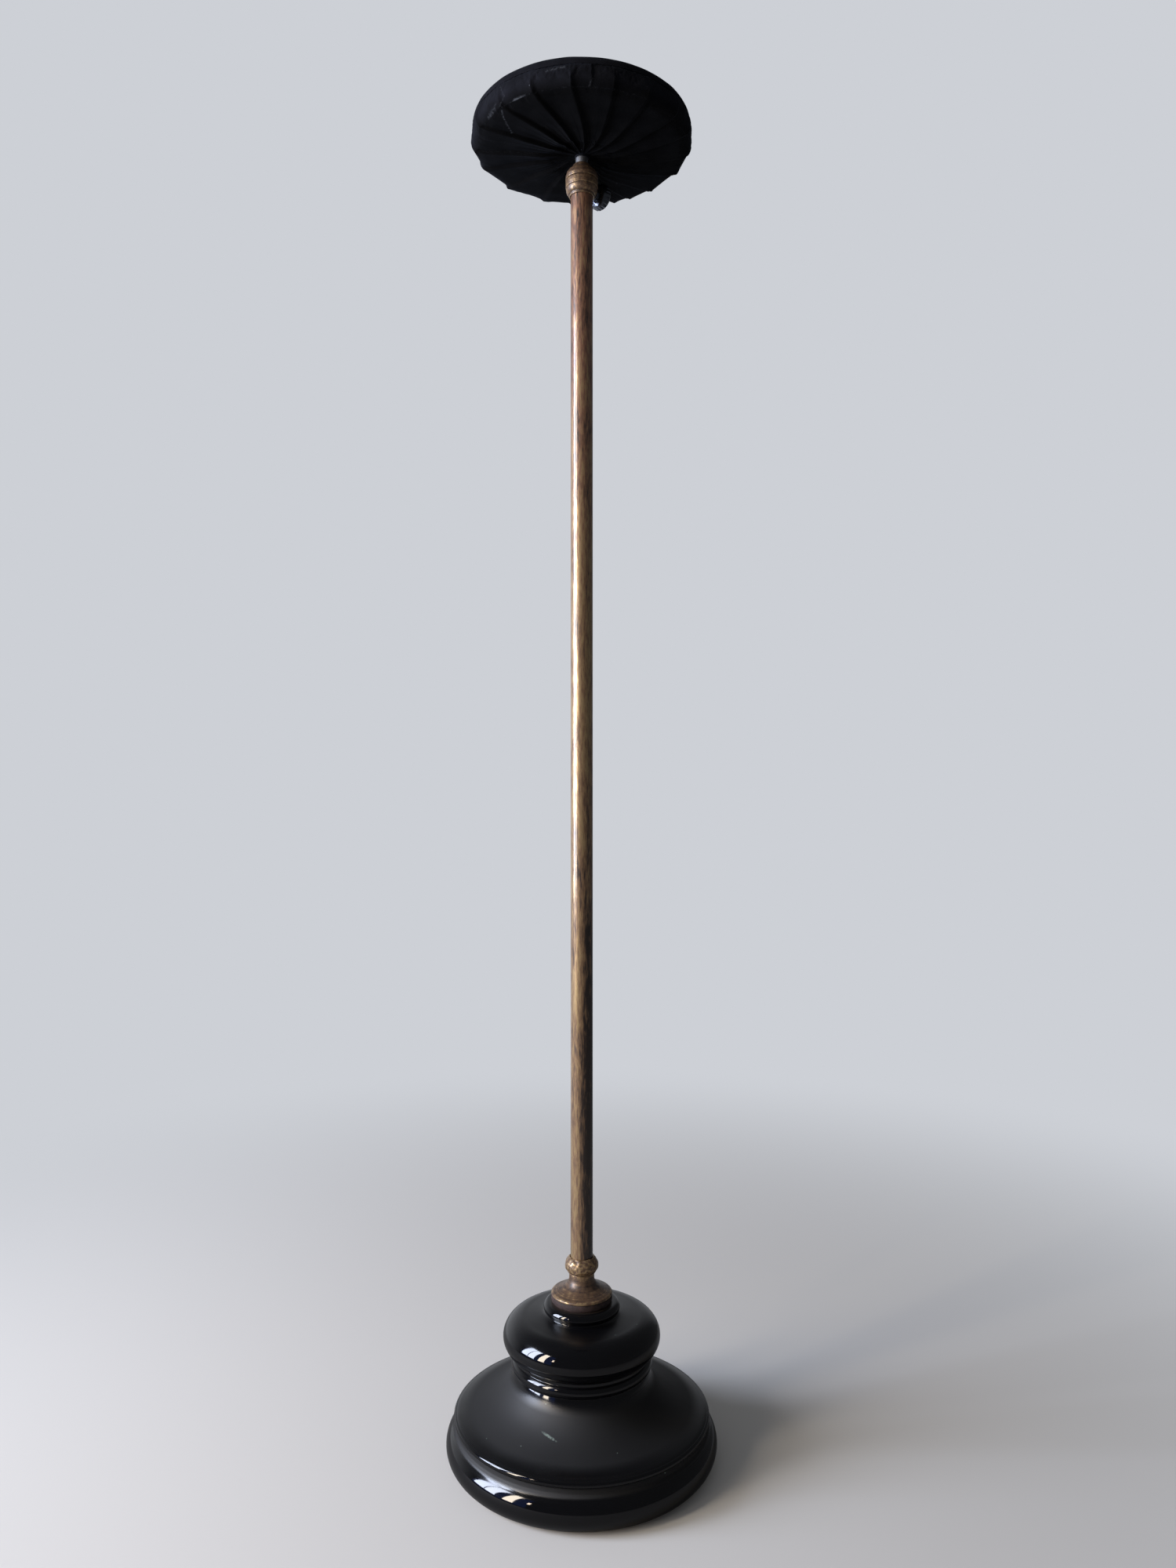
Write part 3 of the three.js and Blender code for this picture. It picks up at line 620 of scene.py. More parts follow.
def between(tree, level, start, full, fading, end):
    """1 between the levels full and fading in millimetres, running out to 0 at start and at end."""
    above = add_node(tree, "ShaderNodeMapRange", {0: level, 1: start, 2: full}).outputs[0]
    below = add_node(tree, "ShaderNodeMapRange", {0: level, 1: fading, 2: end, 3: 1.0, 4: 0.0}).outputs[0]
    return add_node(tree, "ShaderNodeMath", {0: above, 1: below}, operation="MULTIPLY").outputs[0]


def glazed_stoneware(colours):
    """Stoneware dipped in black glaze and fired: mirror gloss with a slow ripple, softened by dust on the
    sloping skirt, with a few specks, a pale scuff in front, and bare matt clay where it stands."""
    material, tree, surface = new_finish("glazed_stoneware", Roughness=0.05, IOR=1.58)
    place = in_millimetres(tree)
    grit = add_node(tree, "ShaderNodeTexNoise", {"Vector": place, "Scale": 1 / 0.7, "Detail": 3.0}).outputs[0]
    body = add_node(
        tree, "ShaderNodeMix", {0: grit, 6: paint(colours.clay), 7: paint(colours.clay, 0.6)},
        data_type="RGBA",
    ).outputs[2]
    specks = scattered(tree, place, apart=5.0, size=0.05, rare=0.86)
    at = add_node(
        tree, "ShaderNodeMapping",
        {
            "Vector": place, "Location": (-13.8, -36.3, 27.6),
            "Rotation": (0, math.radians(12), math.radians(-18)),
            "Scale": (9.0, 3.0, 0.6),
        },
        vector_type="TEXTURE",
    ).outputs[0]
    ball = add_node(tree, "ShaderNodeTexGradient", {"Vector": at}, gradient_type="SPHERICAL").outputs["Fac"]
    rub = add_node(tree, "ShaderNodeTexNoise", {"Vector": place, "Scale": 1 / 0.8, "Detail": 4.0}).outputs[0]
    rubbed = add_node(tree, "ShaderNodeMath", {0: ball, 1: rub}, operation="MULTIPLY").outputs[0]
    scuff = add_node(tree, "ShaderNodeMapRange", {0: rubbed, 1: 0.16, 2: 0.42, 3: 0.0, 4: 0.5}).outputs[0]
    marks = add_node(tree, "ShaderNodeMath", {0: specks, 1: scuff}, operation="MAXIMUM").outputs[0]
    black = add_node(
        tree, "ShaderNodeMix", {0: marks, 6: paint(colours.glaze), 7: paint(linear("#8fa096"))},
        data_type="RGBA",
    ).outputs[2]
    bare = add_node(tree, "ShaderNodeAttribute", attribute_name="unglazed").outputs["Fac"]
    shade = add_node(tree, "ShaderNodeMix", {0: bare, 6: black, 7: body}, data_type="RGBA").outputs[2]
    smear = add_node(
        tree, "ShaderNodeTexNoise", {"Vector": place, "Scale": 1 / 22.0, "Detail": 5.0}
    ).outputs[0]
    film = add_node(tree, "ShaderNodeMapRange", {0: smear, 1: 0.35, 2: 0.75, 3: 0.03, 4: 0.09}).outputs[0]
    level = add_node(tree, "ShaderNodeSeparateXYZ", {0: place}).outputs[2]
    slope = between(tree, level, start=20.5, full=23.0, fading=33.0, end=38.6)
    groove = between(tree, level, start=13.6, full=14.8, fading=17.6, end=18.8)
    facing = add_node(tree, "ShaderNodeNewGeometry").outputs["Normal"]
    upward = add_node(tree, "ShaderNodeSeparateXYZ", {0: facing}).outputs[2]
    flat = add_node(tree, "ShaderNodeMapRange", {0: upward, 1: 0.6, 2: 0.95, 3: 0.0, 4: 0.4}).outputs[0]
    either = add_node(tree, "ShaderNodeMath", {0: slope, 1: groove}, operation="MAXIMUM").outputs[0]
    settled_dust = add_node(tree, "ShaderNodeMath", {0: either, 1: flat}, operation="MAXIMUM").outputs[0]
    dusty = add_node(
        tree, "ShaderNodeMath", {0: settled_dust, 1: 0.62, 2: film}, operation="MULTIPLY_ADD"
    ).outputs[0]
    dull = add_node(tree, "ShaderNodeMath", {0: marks, 1: dusty}, operation="MAXIMUM").outputs[0]
    rough = add_node(tree, "ShaderNodeMix", {0: bare, 2: dull, 3: 0.9}).outputs[0]
    ripple = add_node(
        tree, "ShaderNodeTexNoise", {"Vector": place, "Scale": 1 / 11.0, "Detail": 1.0}
    ).outputs[0]
    surfaced(tree, surface, shade, ripple, strength=0.12, height=0.6, rough=rough)
    return material


def oiled_leather(colours):
    """Vegetable-tanned leather cut with a punch: dry, matt and red brown, with darker fibres at the edge. The
    real fibres are a tenth of a millimetre across, and are drawn at half a millimetre so that they show."""
    material, tree, surface = new_finish("oiled_leather", Roughness=0.78)
    place = in_millimetres(tree)
    fibre = add_node(
        tree, "ShaderNodeTexNoise", {"Vector": place, "Scale": 1 / 0.5, "Detail": 6.0}
    ).outputs[0]
    blotch = add_node(
        tree, "ShaderNodeTexNoise", {"Vector": place, "Scale": 1 / 4.0, "Detail": 3.0}
    ).outputs[0]
    both = add_node(tree, "ShaderNodeMath", {0: fibre, 1: blotch}, operation="MULTIPLY").outputs[0]
    worn = add_node(tree, "ShaderNodeMapRange", {0: both, 1: 0.15, 2: 0.36}).outputs[0]
    shade = add_node(
        tree, "ShaderNodeMix", {0: worn, 6: paint(colours.leather, 0.35), 7: paint(colours.leather)},
        data_type="RGBA",
    ).outputs[2]
    surfaced(tree, surface, shade, fibre, strength=0.6, height=0.12)
    return material


def brass_shades(tree, amount, dark, middle, bright):
    """Brass from tarnish through patina to bright metal, by an amount from 0 to 1."""
    return add_node(
        tree, "ShaderNodeValToRGB", {0: amount},
        stops=((0.0, paint(dark)), (0.42, paint(middle)), (1.0, paint(bright))),
    ).outputs[0]


def worn_brass(tree, surface, shade, amount, relief):
    """Gives brass its colour and relief, and makes it smoother and more metallic where it is worn bright."""
    rough = add_node(tree, "ShaderNodeMapRange", {0: amount, 3: 0.52, 4: 0.3}).outputs[0]
    metal = add_node(tree, "ShaderNodeMapRange", {0: amount, 1: 0.2, 2: 0.9, 3: 0.1, 4: 0.7}).outputs[0]
    tree.links.new(metal, surface["Metallic"])
    surfaced(tree, surface, shade, relief, strength=0.5, height=0.12, rough=rough)


def drawn_brass_tube(colours):
    """Drawn brass tube with the last of its lacquer, browned by hands: brown patina with gold flecks along
    the tube where it is rubbed, brightest half way up, redder near the top and darker near the foot. Low on
    the tube, its +X side, away from the lamps, is painted darker as shade. The flecks are half a millimetre
    wide on the real tube, and are drawn a little wider so that they show."""
    material, tree, surface = new_finish("drawn_brass_tube", Coat_Weight=1.0, Coat_Roughness=0.14)
    fine = in_millimetres(tree, along=0.13)
    flecks = add_node(
        tree, "ShaderNodeTexNoise", {"Vector": fine, "Scale": 1 / 0.8, "Detail": 5.0, "Roughness": 0.65}
    ).outputs[0]
    wide = in_millimetres(tree, along=0.16)
    patches = add_node(
        tree, "ShaderNodeTexNoise", {"Vector": wide, "Scale": 1 / 3.5, "Detail": 3.0}
    ).outputs[0]
    place = add_node(tree, "ShaderNodeSeparateXYZ", {0: in_millimetres(tree)}).outputs
    height = add_node(tree, "ShaderNodeMapRange", {0: place[2], 1: 80.0, 2: 570.0}).outputs[0]
    handled = add_node(
        tree, "ShaderNodeValToRGB", {0: height},
        stops=(
            (0.0, grey(0.5)), (0.05, grey(0.5)), (0.16, grey(0.34)), (0.5, grey(0.55)), (0.72, grey(0.38)),
            (0.95, grey(0.28)), (1.0, grey(0.12)),
        ),
    ).outputs[0]
    both = add_node(
        tree, "ShaderNodeMath", {0: patches, 1: 0.7, 2: flecks}, operation="MULTIPLY_ADD"
    ).outputs[0]
    total = add_node(
        tree, "ShaderNodeMath", {0: handled, 1: 0.5, 2: both}, operation="MULTIPLY_ADD"
    ).outputs[0]
    # Painted shade: below about 330 mm the +X side of the tube, away from the lamps, is made darker.
    side = add_node(tree, "ShaderNodeMapRange", {0: place[0], 1: -1.5, 2: 2.5, 3: 0.0, 4: -0.35}).outputs[0]
    low = add_node(tree, "ShaderNodeMapRange", {0: place[2], 1: 150.0, 2: 330.0, 3: 1.0, 4: 0.0}).outputs[0]
    kept = add_node(tree, "ShaderNodeMath", {0: side, 1: low, 2: total}, operation="MULTIPLY_ADD").outputs[0]
    amount = add_node(tree, "ShaderNodeMapRange", {0: kept, 1: 0.82, 2: 1.29}).outputs[0]
    brown = brass_shades(tree, amount, colours.tarnish, colours.patina, colours.brass)
    ruddy = brass_shades(tree, amount, colours.tarnish, colours.copper, colours.brass)
    red = add_node(tree, "ShaderNodeMapRange", {0: height, 1: 0.6, 2: 0.85}).outputs[0]
    shade = add_node(tree, "ShaderNodeMix", {0: red, 6: brown, 7: ruddy}, data_type="RGBA").outputs[2]
    worn_brass(tree, surface, shade, amount, flecks)
    return material


def turned_brass(colours, name, gold, grain=1.3):
    """Brass turned on a lathe and left to tarnish: satin brown with fine turning lines round it, dark in
    the hollows and gold on the edges. gold is how bright it is worn and grain the size of its mottling. The
    real lines are a tenth of a millimetre apart, and are drawn at three tenths so that they show."""
    material, tree, surface = new_finish(name, Coat_Weight=0.3, Coat_Roughness=0.35)
    place = in_millimetres(tree)
    part = add_node(tree, "ShaderNodeSeparateXYZ", {0: place}).outputs
    flat = add_node(tree, "ShaderNodeCombineXYZ", {0: part[0], 1: part[1]}).outputs[0]
    radius = add_node(tree, "ShaderNodeVectorMath", {0: flat}, operation="LENGTH").outputs["Value"]
    path = add_node(tree, "ShaderNodeMath", {0: radius, 1: part[2]}, operation="ADD").outputs[0]
    cuts = add_node(
        tree, "ShaderNodeTexNoise", {"W": path, "Scale": 1 / 0.3, "Detail": 2.0}, noise_dimensions="1D"
    ).outputs[0]
    mottle = add_node(
        tree, "ShaderNodeTexNoise", {"Vector": place, "Scale": 1 / grain, "Detail": 5.0, "Roughness": 0.6}
    ).outputs[0]
    both = add_node(
        tree, "ShaderNodeMath", {0: cuts, 1: 0.35, 2: mottle}, operation="MULTIPLY_ADD"
    ).outputs[0]
    edge = add_node(tree, "ShaderNodeAttribute", attribute_name="edge").outputs["Fac"]
    broken = add_node(tree, "ShaderNodeMath", {0: edge, 1: mottle}, operation="MULTIPLY").outputs[0]
    total = add_node(
        tree, "ShaderNodeMath", {0: broken, 1: 0.8, 2: both}, operation="MULTIPLY_ADD"
    ).outputs[0]
    amount = add_node(
        tree, "ShaderNodeMapRange", {0: total, 1: 0.66 - gold * 0.36, 2: 1.34 - gold * 0.46}
    ).outputs[0]
    shade = brass_shades(tree, amount, colours.tarnish, colours.turned_patina, colours.brass)
    worn_brass(tree, surface, shade, amount, both)
    return material


def nickel_plate(tint, name, least, most):
    """Steel with nickel plate: bright and slightly warm, with faint bloom and hairline wear. It is satin
    where it slides, and dull where hands turn it; least and most bound its roughness. The real hairlines are
    finer than three tenths of a millimetre, at which they are drawn so that they show."""
    material, tree, surface = new_finish(name, Metallic=1.0)
    place = in_millimetres(tree)
    bloom = add_node(
        tree, "ShaderNodeTexNoise", {"Vector": place, "Scale": 1 / 3.0, "Detail": 5.0}
    ).outputs[0]
    shade = add_node(
        tree, "ShaderNodeMix", {0: bloom, 6: paint(tint, 0.8), 7: paint(tint)}, data_type="RGBA"
    ).outputs[2]
    rough = add_node(tree, "ShaderNodeMapRange", {0: bloom, 1: 0.3, 2: 0.7, 3: least, 4: most}).outputs[0]
    hair = in_millimetres(tree, along=0.05)
    lines = add_node(tree, "ShaderNodeTexNoise", {"Vector": hair, "Scale": 1 / 0.3, "Detail": 2.0}).outputs[0]
    surfaced(tree, surface, shade, lines, strength=0.15, height=0.02, rough=rough)
    return material


def plain_steel(colours):
    """Turned mild steel without plate: grey and satin, with brown bloom in places."""
    material, tree, surface = new_finish("plain_steel", Metallic=1.0)
    place = in_millimetres(tree)
    bloom = add_node(
        tree, "ShaderNodeTexNoise", {"Vector": place, "Scale": 1 / 2.5, "Detail": 6.0}
    ).outputs[0]
    rust = add_node(tree, "ShaderNodeMapRange", {0: bloom, 1: 0.55, 2: 0.7}).outputs[0]
    shade = add_node(
        tree, "ShaderNodeMix", {0: rust, 6: paint(colours.steel), 7: paint(linear("#4d3526"))},
        data_type="RGBA",
    ).outputs[2]
    rough = add_node(tree, "ShaderNodeMapRange", {0: bloom, 1: 0.3, 2: 0.7, 3: 0.3, 4: 0.6}).outputs[0]
    surfaced(tree, surface, shade, bloom, strength=0.3, height=0.05, rough=rough)
    return material


def turned_beech(colours):
    """Beech turned to a disc: pale brown with close straight grain and short dark flecks."""
    material, tree, surface = new_finish("turned_beech", Roughness=0.55)
    place = add_node(
        tree, "ShaderNodeMapping", {"Vector": in_millimetres(tree), "Scale": (0.06, 1.0, 1.0)}
    ).outputs[0]
    grain = add_node(
        tree, "ShaderNodeTexNoise", {"Vector": place, "Scale": 1 / 1.6, "Detail": 6.0}
    ).outputs[0]
    flecks = add_node(
        tree, "ShaderNodeTexNoise", {"Vector": place, "Scale": 1 / 0.35, "Detail": 2.0}
    ).outputs[0]
    both = add_node(tree, "ShaderNodeMath", {0: grain, 1: flecks}, operation="MULTIPLY").outputs[0]
    band = add_node(tree, "ShaderNodeMapRange", {0: both, 1: 0.15, 2: 0.4}).outputs[0]
    shade = add_node(
        tree, "ShaderNodeMix", {0: band, 6: paint(colours.beech, 0.55), 7: paint(colours.beech)},
        data_type="RGBA",
    ).outputs[2]
    surfaced(tree, surface, shade, grain, strength=0.3, height=0.1)
    return material


def carded_cotton(colours):
    """Carded cotton wadding: off-white, matt and fibrous. The real fibres are hundredths of a millimetre
    thick, and are drawn in tufts nearly a millimetre wide so that they show."""
    material, tree, surface = new_finish("carded_cotton", Roughness=1.0, Sheen_Weight=0.3)
    place = in_millimetres(tree)
    fibre = add_node(
        tree, "ShaderNodeTexNoise", {"Vector": place, "Scale": 1 / 0.9, "Detail": 8.0, "Distortion": 1.5}
    ).outputs[0]
    shade = add_node(
        tree, "ShaderNodeMix", {0: fibre, 6: paint(colours.cotton, 0.7), 7: paint(colours.cotton)},
        data_type="RGBA",
    ).outputs[2]
    surfaced(tree, surface, shade, fibre, strength=0.8, height=0.5)
    return material


def cotton_velvet(colours):
    """Black cotton velvet, cut pile: it swallows light face on and catches a cool sheen at a slant. The pile
    is crushed in patches, rubbed pale along the folds, and holds a little lint. From the crease up, the rim
    band is painted a lighter blue grey in patches: painted sheen that stands in for the light the upright
    band catches."""
    material, tree, surface = new_finish(
        "cotton_velvet", Roughness=0.95, Specular_IOR_Level=0.06, Sheen_Weight=0.035, Sheen_Roughness=0.4,
        Sheen_Tint=paint(colours.velvet_sheen),
    )
    place = in_millimetres(tree)
    crush = add_node(
        tree, "ShaderNodeTexNoise", {"Vector": place, "Scale": 1 / 9.0, "Detail": 5.0}
    ).outputs[0]
    pile = add_node(tree, "ShaderNodeTexNoise", {"Vector": place, "Scale": 1 / 0.3, "Detail": 3.0}).outputs[0]
    lay = add_node(tree, "ShaderNodeMapRange", {0: crush, 1: 0.35, 2: 0.72}).outputs[0]
    raised = paint([part * 2.2 + 0.0006 for part in colours.velvet])
    clean = add_node(
        tree, "ShaderNodeMix", {0: lay, 6: paint(colours.velvet), 7: raised}, data_type="RGBA"
    ).outputs[2]
    level = add_node(tree, "ShaderNodeSeparateXYZ", {0: place}).outputs[2]
    # Painted sheen: from the crease up, the rim band is mixed in patches towards a lighter blue grey, for the
    # light that the upright band catches.
    rim = add_node(tree, "ShaderNodeMapRange", {0: level, 1: 585.6, 2: 589.5, 3: 0.0, 4: 0.95}).outputs[0]
    dust = add_node(
        tree, "ShaderNodeMath", {0: rim, 1: crush}, operation="MULTIPLY", use_clamp=True
    ).outputs[0]
    cloth = add_node(
        tree, "ShaderNodeMix", {0: dust, 6: clean, 7: paint(colours.velvet_rim_painted_sheen)}, data_type="RGBA"
    ).outputs[2]
    rubbed = add_node(tree, "ShaderNodeAttribute", attribute_name="rubbed").outputs["Fac"]
    tufts = add_node(
        tree, "ShaderNodeTexNoise", {"Vector": place, "Scale": 1 / 0.7, "Detail": 6.0, "Roughness": 0.7}
    ).outputs[0]
    both = add_node(
        tree, "ShaderNodeMath", {0: rubbed, 1: 0.5, 2: tufts}, operation="MULTIPLY_ADD"
    ).outputs[0]
    bald = add_node(tree, "ShaderNodeMapRange", {0: both, 1: 0.62, 2: 1.02}).outputs[0]
    worn = add_node(tree, "ShaderNodeMath", {0: bald, 1: rubbed}, operation="MULTIPLY").outputs[0]
    lint = scattered(tree, place, apart=4.2, size=0.07, rare=0.88)
    faint = add_node(tree, "ShaderNodeMath", {0: lint, 1: 0.35}, operation="MULTIPLY").outputs[0]
    pale = add_node(tree, "ShaderNodeMath", {0: worn, 1: faint}, operation="MAXIMUM").outputs[0]
    shade = add_node(
        tree, "ShaderNodeMix", {0: pale, 6: cloth, 7: paint(colours.velvet_wear)}, data_type="RGBA"
    ).outputs[2]
    surfaced(tree, surface, shade, pile, strength=0.35, height=0.25)
    return material


def linen_thread(colours):
    """Waxed linen thread, twisted of two plies: dark blue, with a soft shine on the wax."""
    material, tree, surface = new_finish("linen_thread", Roughness=0.8, Specular_IOR_Level=0.2)
    place = add_node(
        tree, "ShaderNodeMapping", {"Vector": in_millimetres(tree), "Rotation": (0.6, 0.6, 0)}
    ).outputs[0]
    twist = add_node(
        tree, "ShaderNodeTexNoise", {"Vector": place, "Scale": 1 / 0.12, "Detail": 2.0}
    ).outputs[0]
    shade = add_node(
        tree, "ShaderNodeMix", {0: twist, 6: paint(colours.thread, 0.4), 7: paint(colours.thread, 1.6)},
        data_type="RGBA",
    ).outputs[2]
    surfaced(tree, surface, shade, twist, strength=0.5, height=0.05)
    return material


# The pieces


class Dresser:
    """What every operator here shares: undo, and the scene's sizes and colours."""

    bl_options = {"REGISTER", "UNDO"}

    @staticmethod
    def sizes(context):
        scene = context.scene
        return {name: getattr(scene, name) for name in GROUPS}


class FootOperator(Dresser, bpy.types.Operator):
    """Turns the glazed foot: roll, groove, skirt with its sharp edge, ogee, neck bead, bulb and lip"""

    bl_idname = "hat_stand.foot"
    bl_label = "Glazed foot"

    def execute(self, context):
        given = self.sizes(context)
        outside = [
            *arc(53.3, 7.6, 7.3, 7.6, -90, 55, 22),
            (56.2, 15.6),
            *arc(56.0, 19.2, 1.2, 1.4, -90, 90, 12),
            *flow((55.4, 21.0), (44.24, 23.99), (33.08, 28.04), (30.6, 38.6), 30),
            *arc(29.5, 41.8, 2.1, 2.6, -70, 80, 12),
            *arc(25.2, 53.6, 10.1, 8.6, -62, 90, 28),
            *flow((25.2, 62.2), (22.0, 62.56), (18.64, 62.75), (17.2, 63.3), 8)[1:],
            *arc(14.8, 65.8, 2.4, 2.5, -50, 90, 12),
        ]
        inside = [
            (4.45, 68.3),
            (4.45, 56.8),
            *flow((16.0, 56.8), (27.7, 56.8), (27.7, 45.0), (21.9, 41.8), 14),
            *flow((21.9, 38.6), (21.9, 16.2), (46.5, 20.07), (46.5, 0.0), 22),
        ]
        outline = [*outside, *inside, outside[0]]
        finish = glazed_stoneware(given["stand_colours"])
        steps = given["turning_sizes"].foot_steps
        foot = turned("glazed_foot", eased(outline, 0.45, turn=20), finish, steps)

        def unglazed(vertex):
            spot, facing = vertex.co, vertex.normal
            outward = Vector((spot.x, spot.y, 0)).normalized().dot(facing)
            under = facing.z < -0.9 and (spot.z < 0.9 * MM or 50 * MM < spot.z < 60 * MM)
            return 1.0 if under or outward < -0.05 else 0.0

        marked(foot, "unglazed", unglazed)
        settled(foot, "column", "black_glaze", "base")
        return {"FINISHED"}


class FootFixingsOperator(Dresser, bpy.types.Operator):
    """Makes what holds the column to the foot: the leather washers, the steel washer, the nut and the stud"""

    bl_idname = "hat_stand.foot_fixings"
    bl_label = "Foot fixings"

    def execute(self, context):
        given = self.sizes(context)
        colours, turning = given["stand_colours"], given["turning_sizes"]
        leather = oiled_leather(colours)
        steel = plain_steel(colours)
        upper = [(3.0, 68.3), *arc(13.0, 69.95, 0.7, 1.65, -90, 90, 10), (3.0, 71.6), (3.0, 68.3)]
        washer = turned("column_leather", upper, leather, turning.steps)
        settled(battered(washer, amount=0.09, size=1.8), "column", "leather", "leather_washer")
        lower = turned("nut_leather", eased(ring(3.0, 14.0, 54.85, 56.75), 0.4), leather, turning.steps)
        settled(battered(lower, amount=0.09, size=1.8, seed=3), "column", "leather", "under_leather")
        plate = turned("nut_washer", eased(ring(3.0, 12.5, 52.8, 54.8), 0.25), steel, turning.steps)
        settled(plate, "column", "plain_steel", "tie_washer")
        settled(hexagon_nut(steel), "column", "plain_steel", "tie_nut")
        settled(threaded_stud(steel), "column", "plain_steel", "tie_stud")
        return {"FINISHED"}


def hexagon_nut(material):
    """A hexagon nut, 10 mm across its flats, with both faces chamfered and the bore eased."""
    flat, bore, bottom, top, chamfer, easing = 5.0, 3.0, 47.8, 52.8, 0.7, 0.4
    face = flat - 0.2
    corner = flat / math.cos(math.pi / 6)
    sides = 72
    work = bmesh.new()
    rows = []
    # Rows of points from the bore round to the bore, as radius and level. The two rows without a radius lie
    # on the hexagon, where the chamfer reaches further down the sides towards the corners.
    for radius, level in (
        (bore, bottom + easing), (bore + easing, bottom), (face, bottom), (None, bottom),
        (None, top), (face, top), (bore + easing, top), (bore, top - easing),
    ):
        row = []
        for i in range(sides):
            angle = math.tau * i / sides
            out, up = radius, level
            if radius is None:
                out = flat / math.cos((angle + math.pi / 6) % (math.pi / 3) - math.pi / 6)
                drop = chamfer * (out - flat) / (corner - flat) + 0.08
                up = bottom + drop if level == bottom else top - drop
            row.append(work.verts.new((out * math.cos(angle) * MM, out * math.sin(angle) * MM, up * MM)))
        rows.append(row)
    for below, above in zip(rows, rows[1:] + rows[:1]):
        for i in range(sides):
            after = (i + 1) % sides
            work.faces.new((below[i], below[after], above[after], above[i]))
    mesh = bpy.data.meshes.new("foot_nut")
    work.to_mesh(mesh)
    work.free()
    mesh.materials.append(material)
    return faced(new_piece("foot_nut", mesh), sharp=28)


def threaded_stud(material):
    """The stud with its thread: a core, and a ridge wound round it from a pitch above its foot to a pitch
    below its top."""
    pitch, core, bottom, top, chamfer = 0.8, 2.45, 44.8, 87.9, 0.4
    outline = [
        (0, bottom), (core - chamfer, bottom), (core, bottom + chamfer),
        (core, top - chamfer), (core - chamfer, top), (0, top),
    ]
    stud = turned("foot_stud", outline, material, steps=32)
    ridge = new_piece("ridge", bpy.data.meshes.new("ridge"))
    rise = top - bottom - 2 * pitch
    finished_by(
        winding_tree(), ridge,
        **{
            "Turns": rise / pitch, "Radius": core * MM, "Bottom": (bottom + pitch) * MM, "Rise": rise * MM,
            "Thickness": 0.72 * MM, "Steps": 22, "Sides": 4, "Material": material,
        },
    )
    faced(ridge, sharp=30)
    return joined(stud, ridge)


def joined(piece, *others):
    """One object of several, in the first one's name and place."""
    work = bmesh.new()
    for part in (piece, *others):
        work.from_mesh(part.data)
    work.to_mesh(piece.data)
    work.free()
    for part in others:
        bpy.data.objects.remove(part)
    return piece


class ColumnOperator(Dresser, bpy.types.Operator):
    """Turns the brass column: the flared flange, the bead above it and the drawn tube"""

    bl_idname = "hat_stand.column"
    bl_label = "Brass column"

    def execute(self, context):
        given = self.sizes(context)
        colours, turning = given["stand_colours"], given["turning_sizes"]
        edge = turning.edge / MM
        flange = [
            (3.0, 71.6), (13.7, 71.6), (13.7, 72.2),
            *flow((13.3, 72.6), (9.6, 74.1), (5.75, 75.1), (5.65, 78.9), 20),
            (5.65, 80.9), (5.1, 80.9), (5.1, 75.9), (3.0, 75.9), (3.0, 71.6),
        ]
        bead = [
            (5.1, 80.9), *flow((5.7, 80.9), (6.2, 81.5), (7.48, 82.3), (7.48, 84.2), 14),
            *flow((7.48, 84.2), (7.48, 86.2), (6.5, 87.2), (5.55, 88.05), 14)[1:], (5.1, 88.05), (5.1, 80.9),
        ]
        satin = turned_brass(colours, "turned_brass_flange", gold=0.5, grain=2.2)
        skirt = turned("brass_flange", eased(flange, edge), satin, turning.steps)
        settled(edged(skirt), "column", "aged_brass", "foot_flange")
        rubbed = turned_brass(colours, "turned_brass_bead", gold=0.7, grain=1.1)
        lump = turned("brass_bead", eased(bead, edge * 2), rubbed, turning.steps)
        battered(lump, amount=0.24, size=1.5, seed=5)
        settled(edged(lump), "column", "worn_brass", "column_bead")
        tube = turned(
            "brass_tube", eased(ring(4.0, 5.0, 75.9, 567.4), edge), drawn_brass_tube(colours), turning.steps
        )
        settled(tube, "column", "aged_brass", "outer_tube")
        return {"FINISHED"}


class ClampOperator(Dresser, bpy.types.Operator):
    """Turns the clamp at the tube's end: the flared collar, drilled for the thumb screw, and its cap"""

    bl_idname = "hat_stand.clamp"
    bl_label = "Clamp collar and cap"

    def execute(self, context):
        given = self.sizes(context)
        colours, turning = given["stand_colours"], given["turning_sizes"]
        edge = turning.edge / MM
        brass = turned_brass(colours, "turned_brass_clamp", gold=0.42, grain=1.5)
        collar = [
            (5.1, 564.9), (5.65, 564.9), *arc(5.65, 568.6, 1.45, 2.6, -90, 0, 12),
            (6.85, 568.75), (7.25, 569.0),
            (7.25, 572.2), (5.6, 572.2), (5.6, 575.3), (4.6, 575.3), (4.6, 572.2),
            (2.85, 572.2), (2.85, 567.5), (5.1, 567.5), (5.1, 564.9),
        ]
        body = turned("clamp_body", eased(collar, edge), brass, turning.steps)
        drill = turned("drill", [(0, 2.7), (1.5, 2.7), (1.5, 8.25), (0, 8.25)], brass, steps=32)
        drill.data.transform(across_the_collar())
        hole = body.modifiers.new("Drilled hole", "BOOLEAN")
        hole.operation = "DIFFERENCE"
        hole.solver = "EXACT"
        hole.object = drill
        faced(made_plain(body))
        bpy.data.objects.remove(drill)
        settled(edged(body), "column", "aged_brass", "clamp_collar")
        cap = [
            (5.75, 572.5), (7.25, 572.5), (7.25, 574.3),
            *flow((7.05, 574.6), (6.85, 575.9), (6.1, 576.7), (5.0, 577.4), 12),
            *flow((4.7, 577.7), (4.3, 578.5), (3.9, 579.3), (3.2, 579.7), 10),
            (2.85, 579.8), (2.85, 575.65), (5.75, 575.65), (5.75, 572.5),
        ]
        lid = turned("clamp_cap", eased(cap, edge), brass, turning.steps)
        settled(edged(lid), "column", "aged_brass", "collar_cap")
        return {"FINISHED"}


# The thumb screw's axis: its level in millimetres, and its bearing in degrees round from +X
SCREW_LEVEL, SCREW_BEARING = 569.4, 45


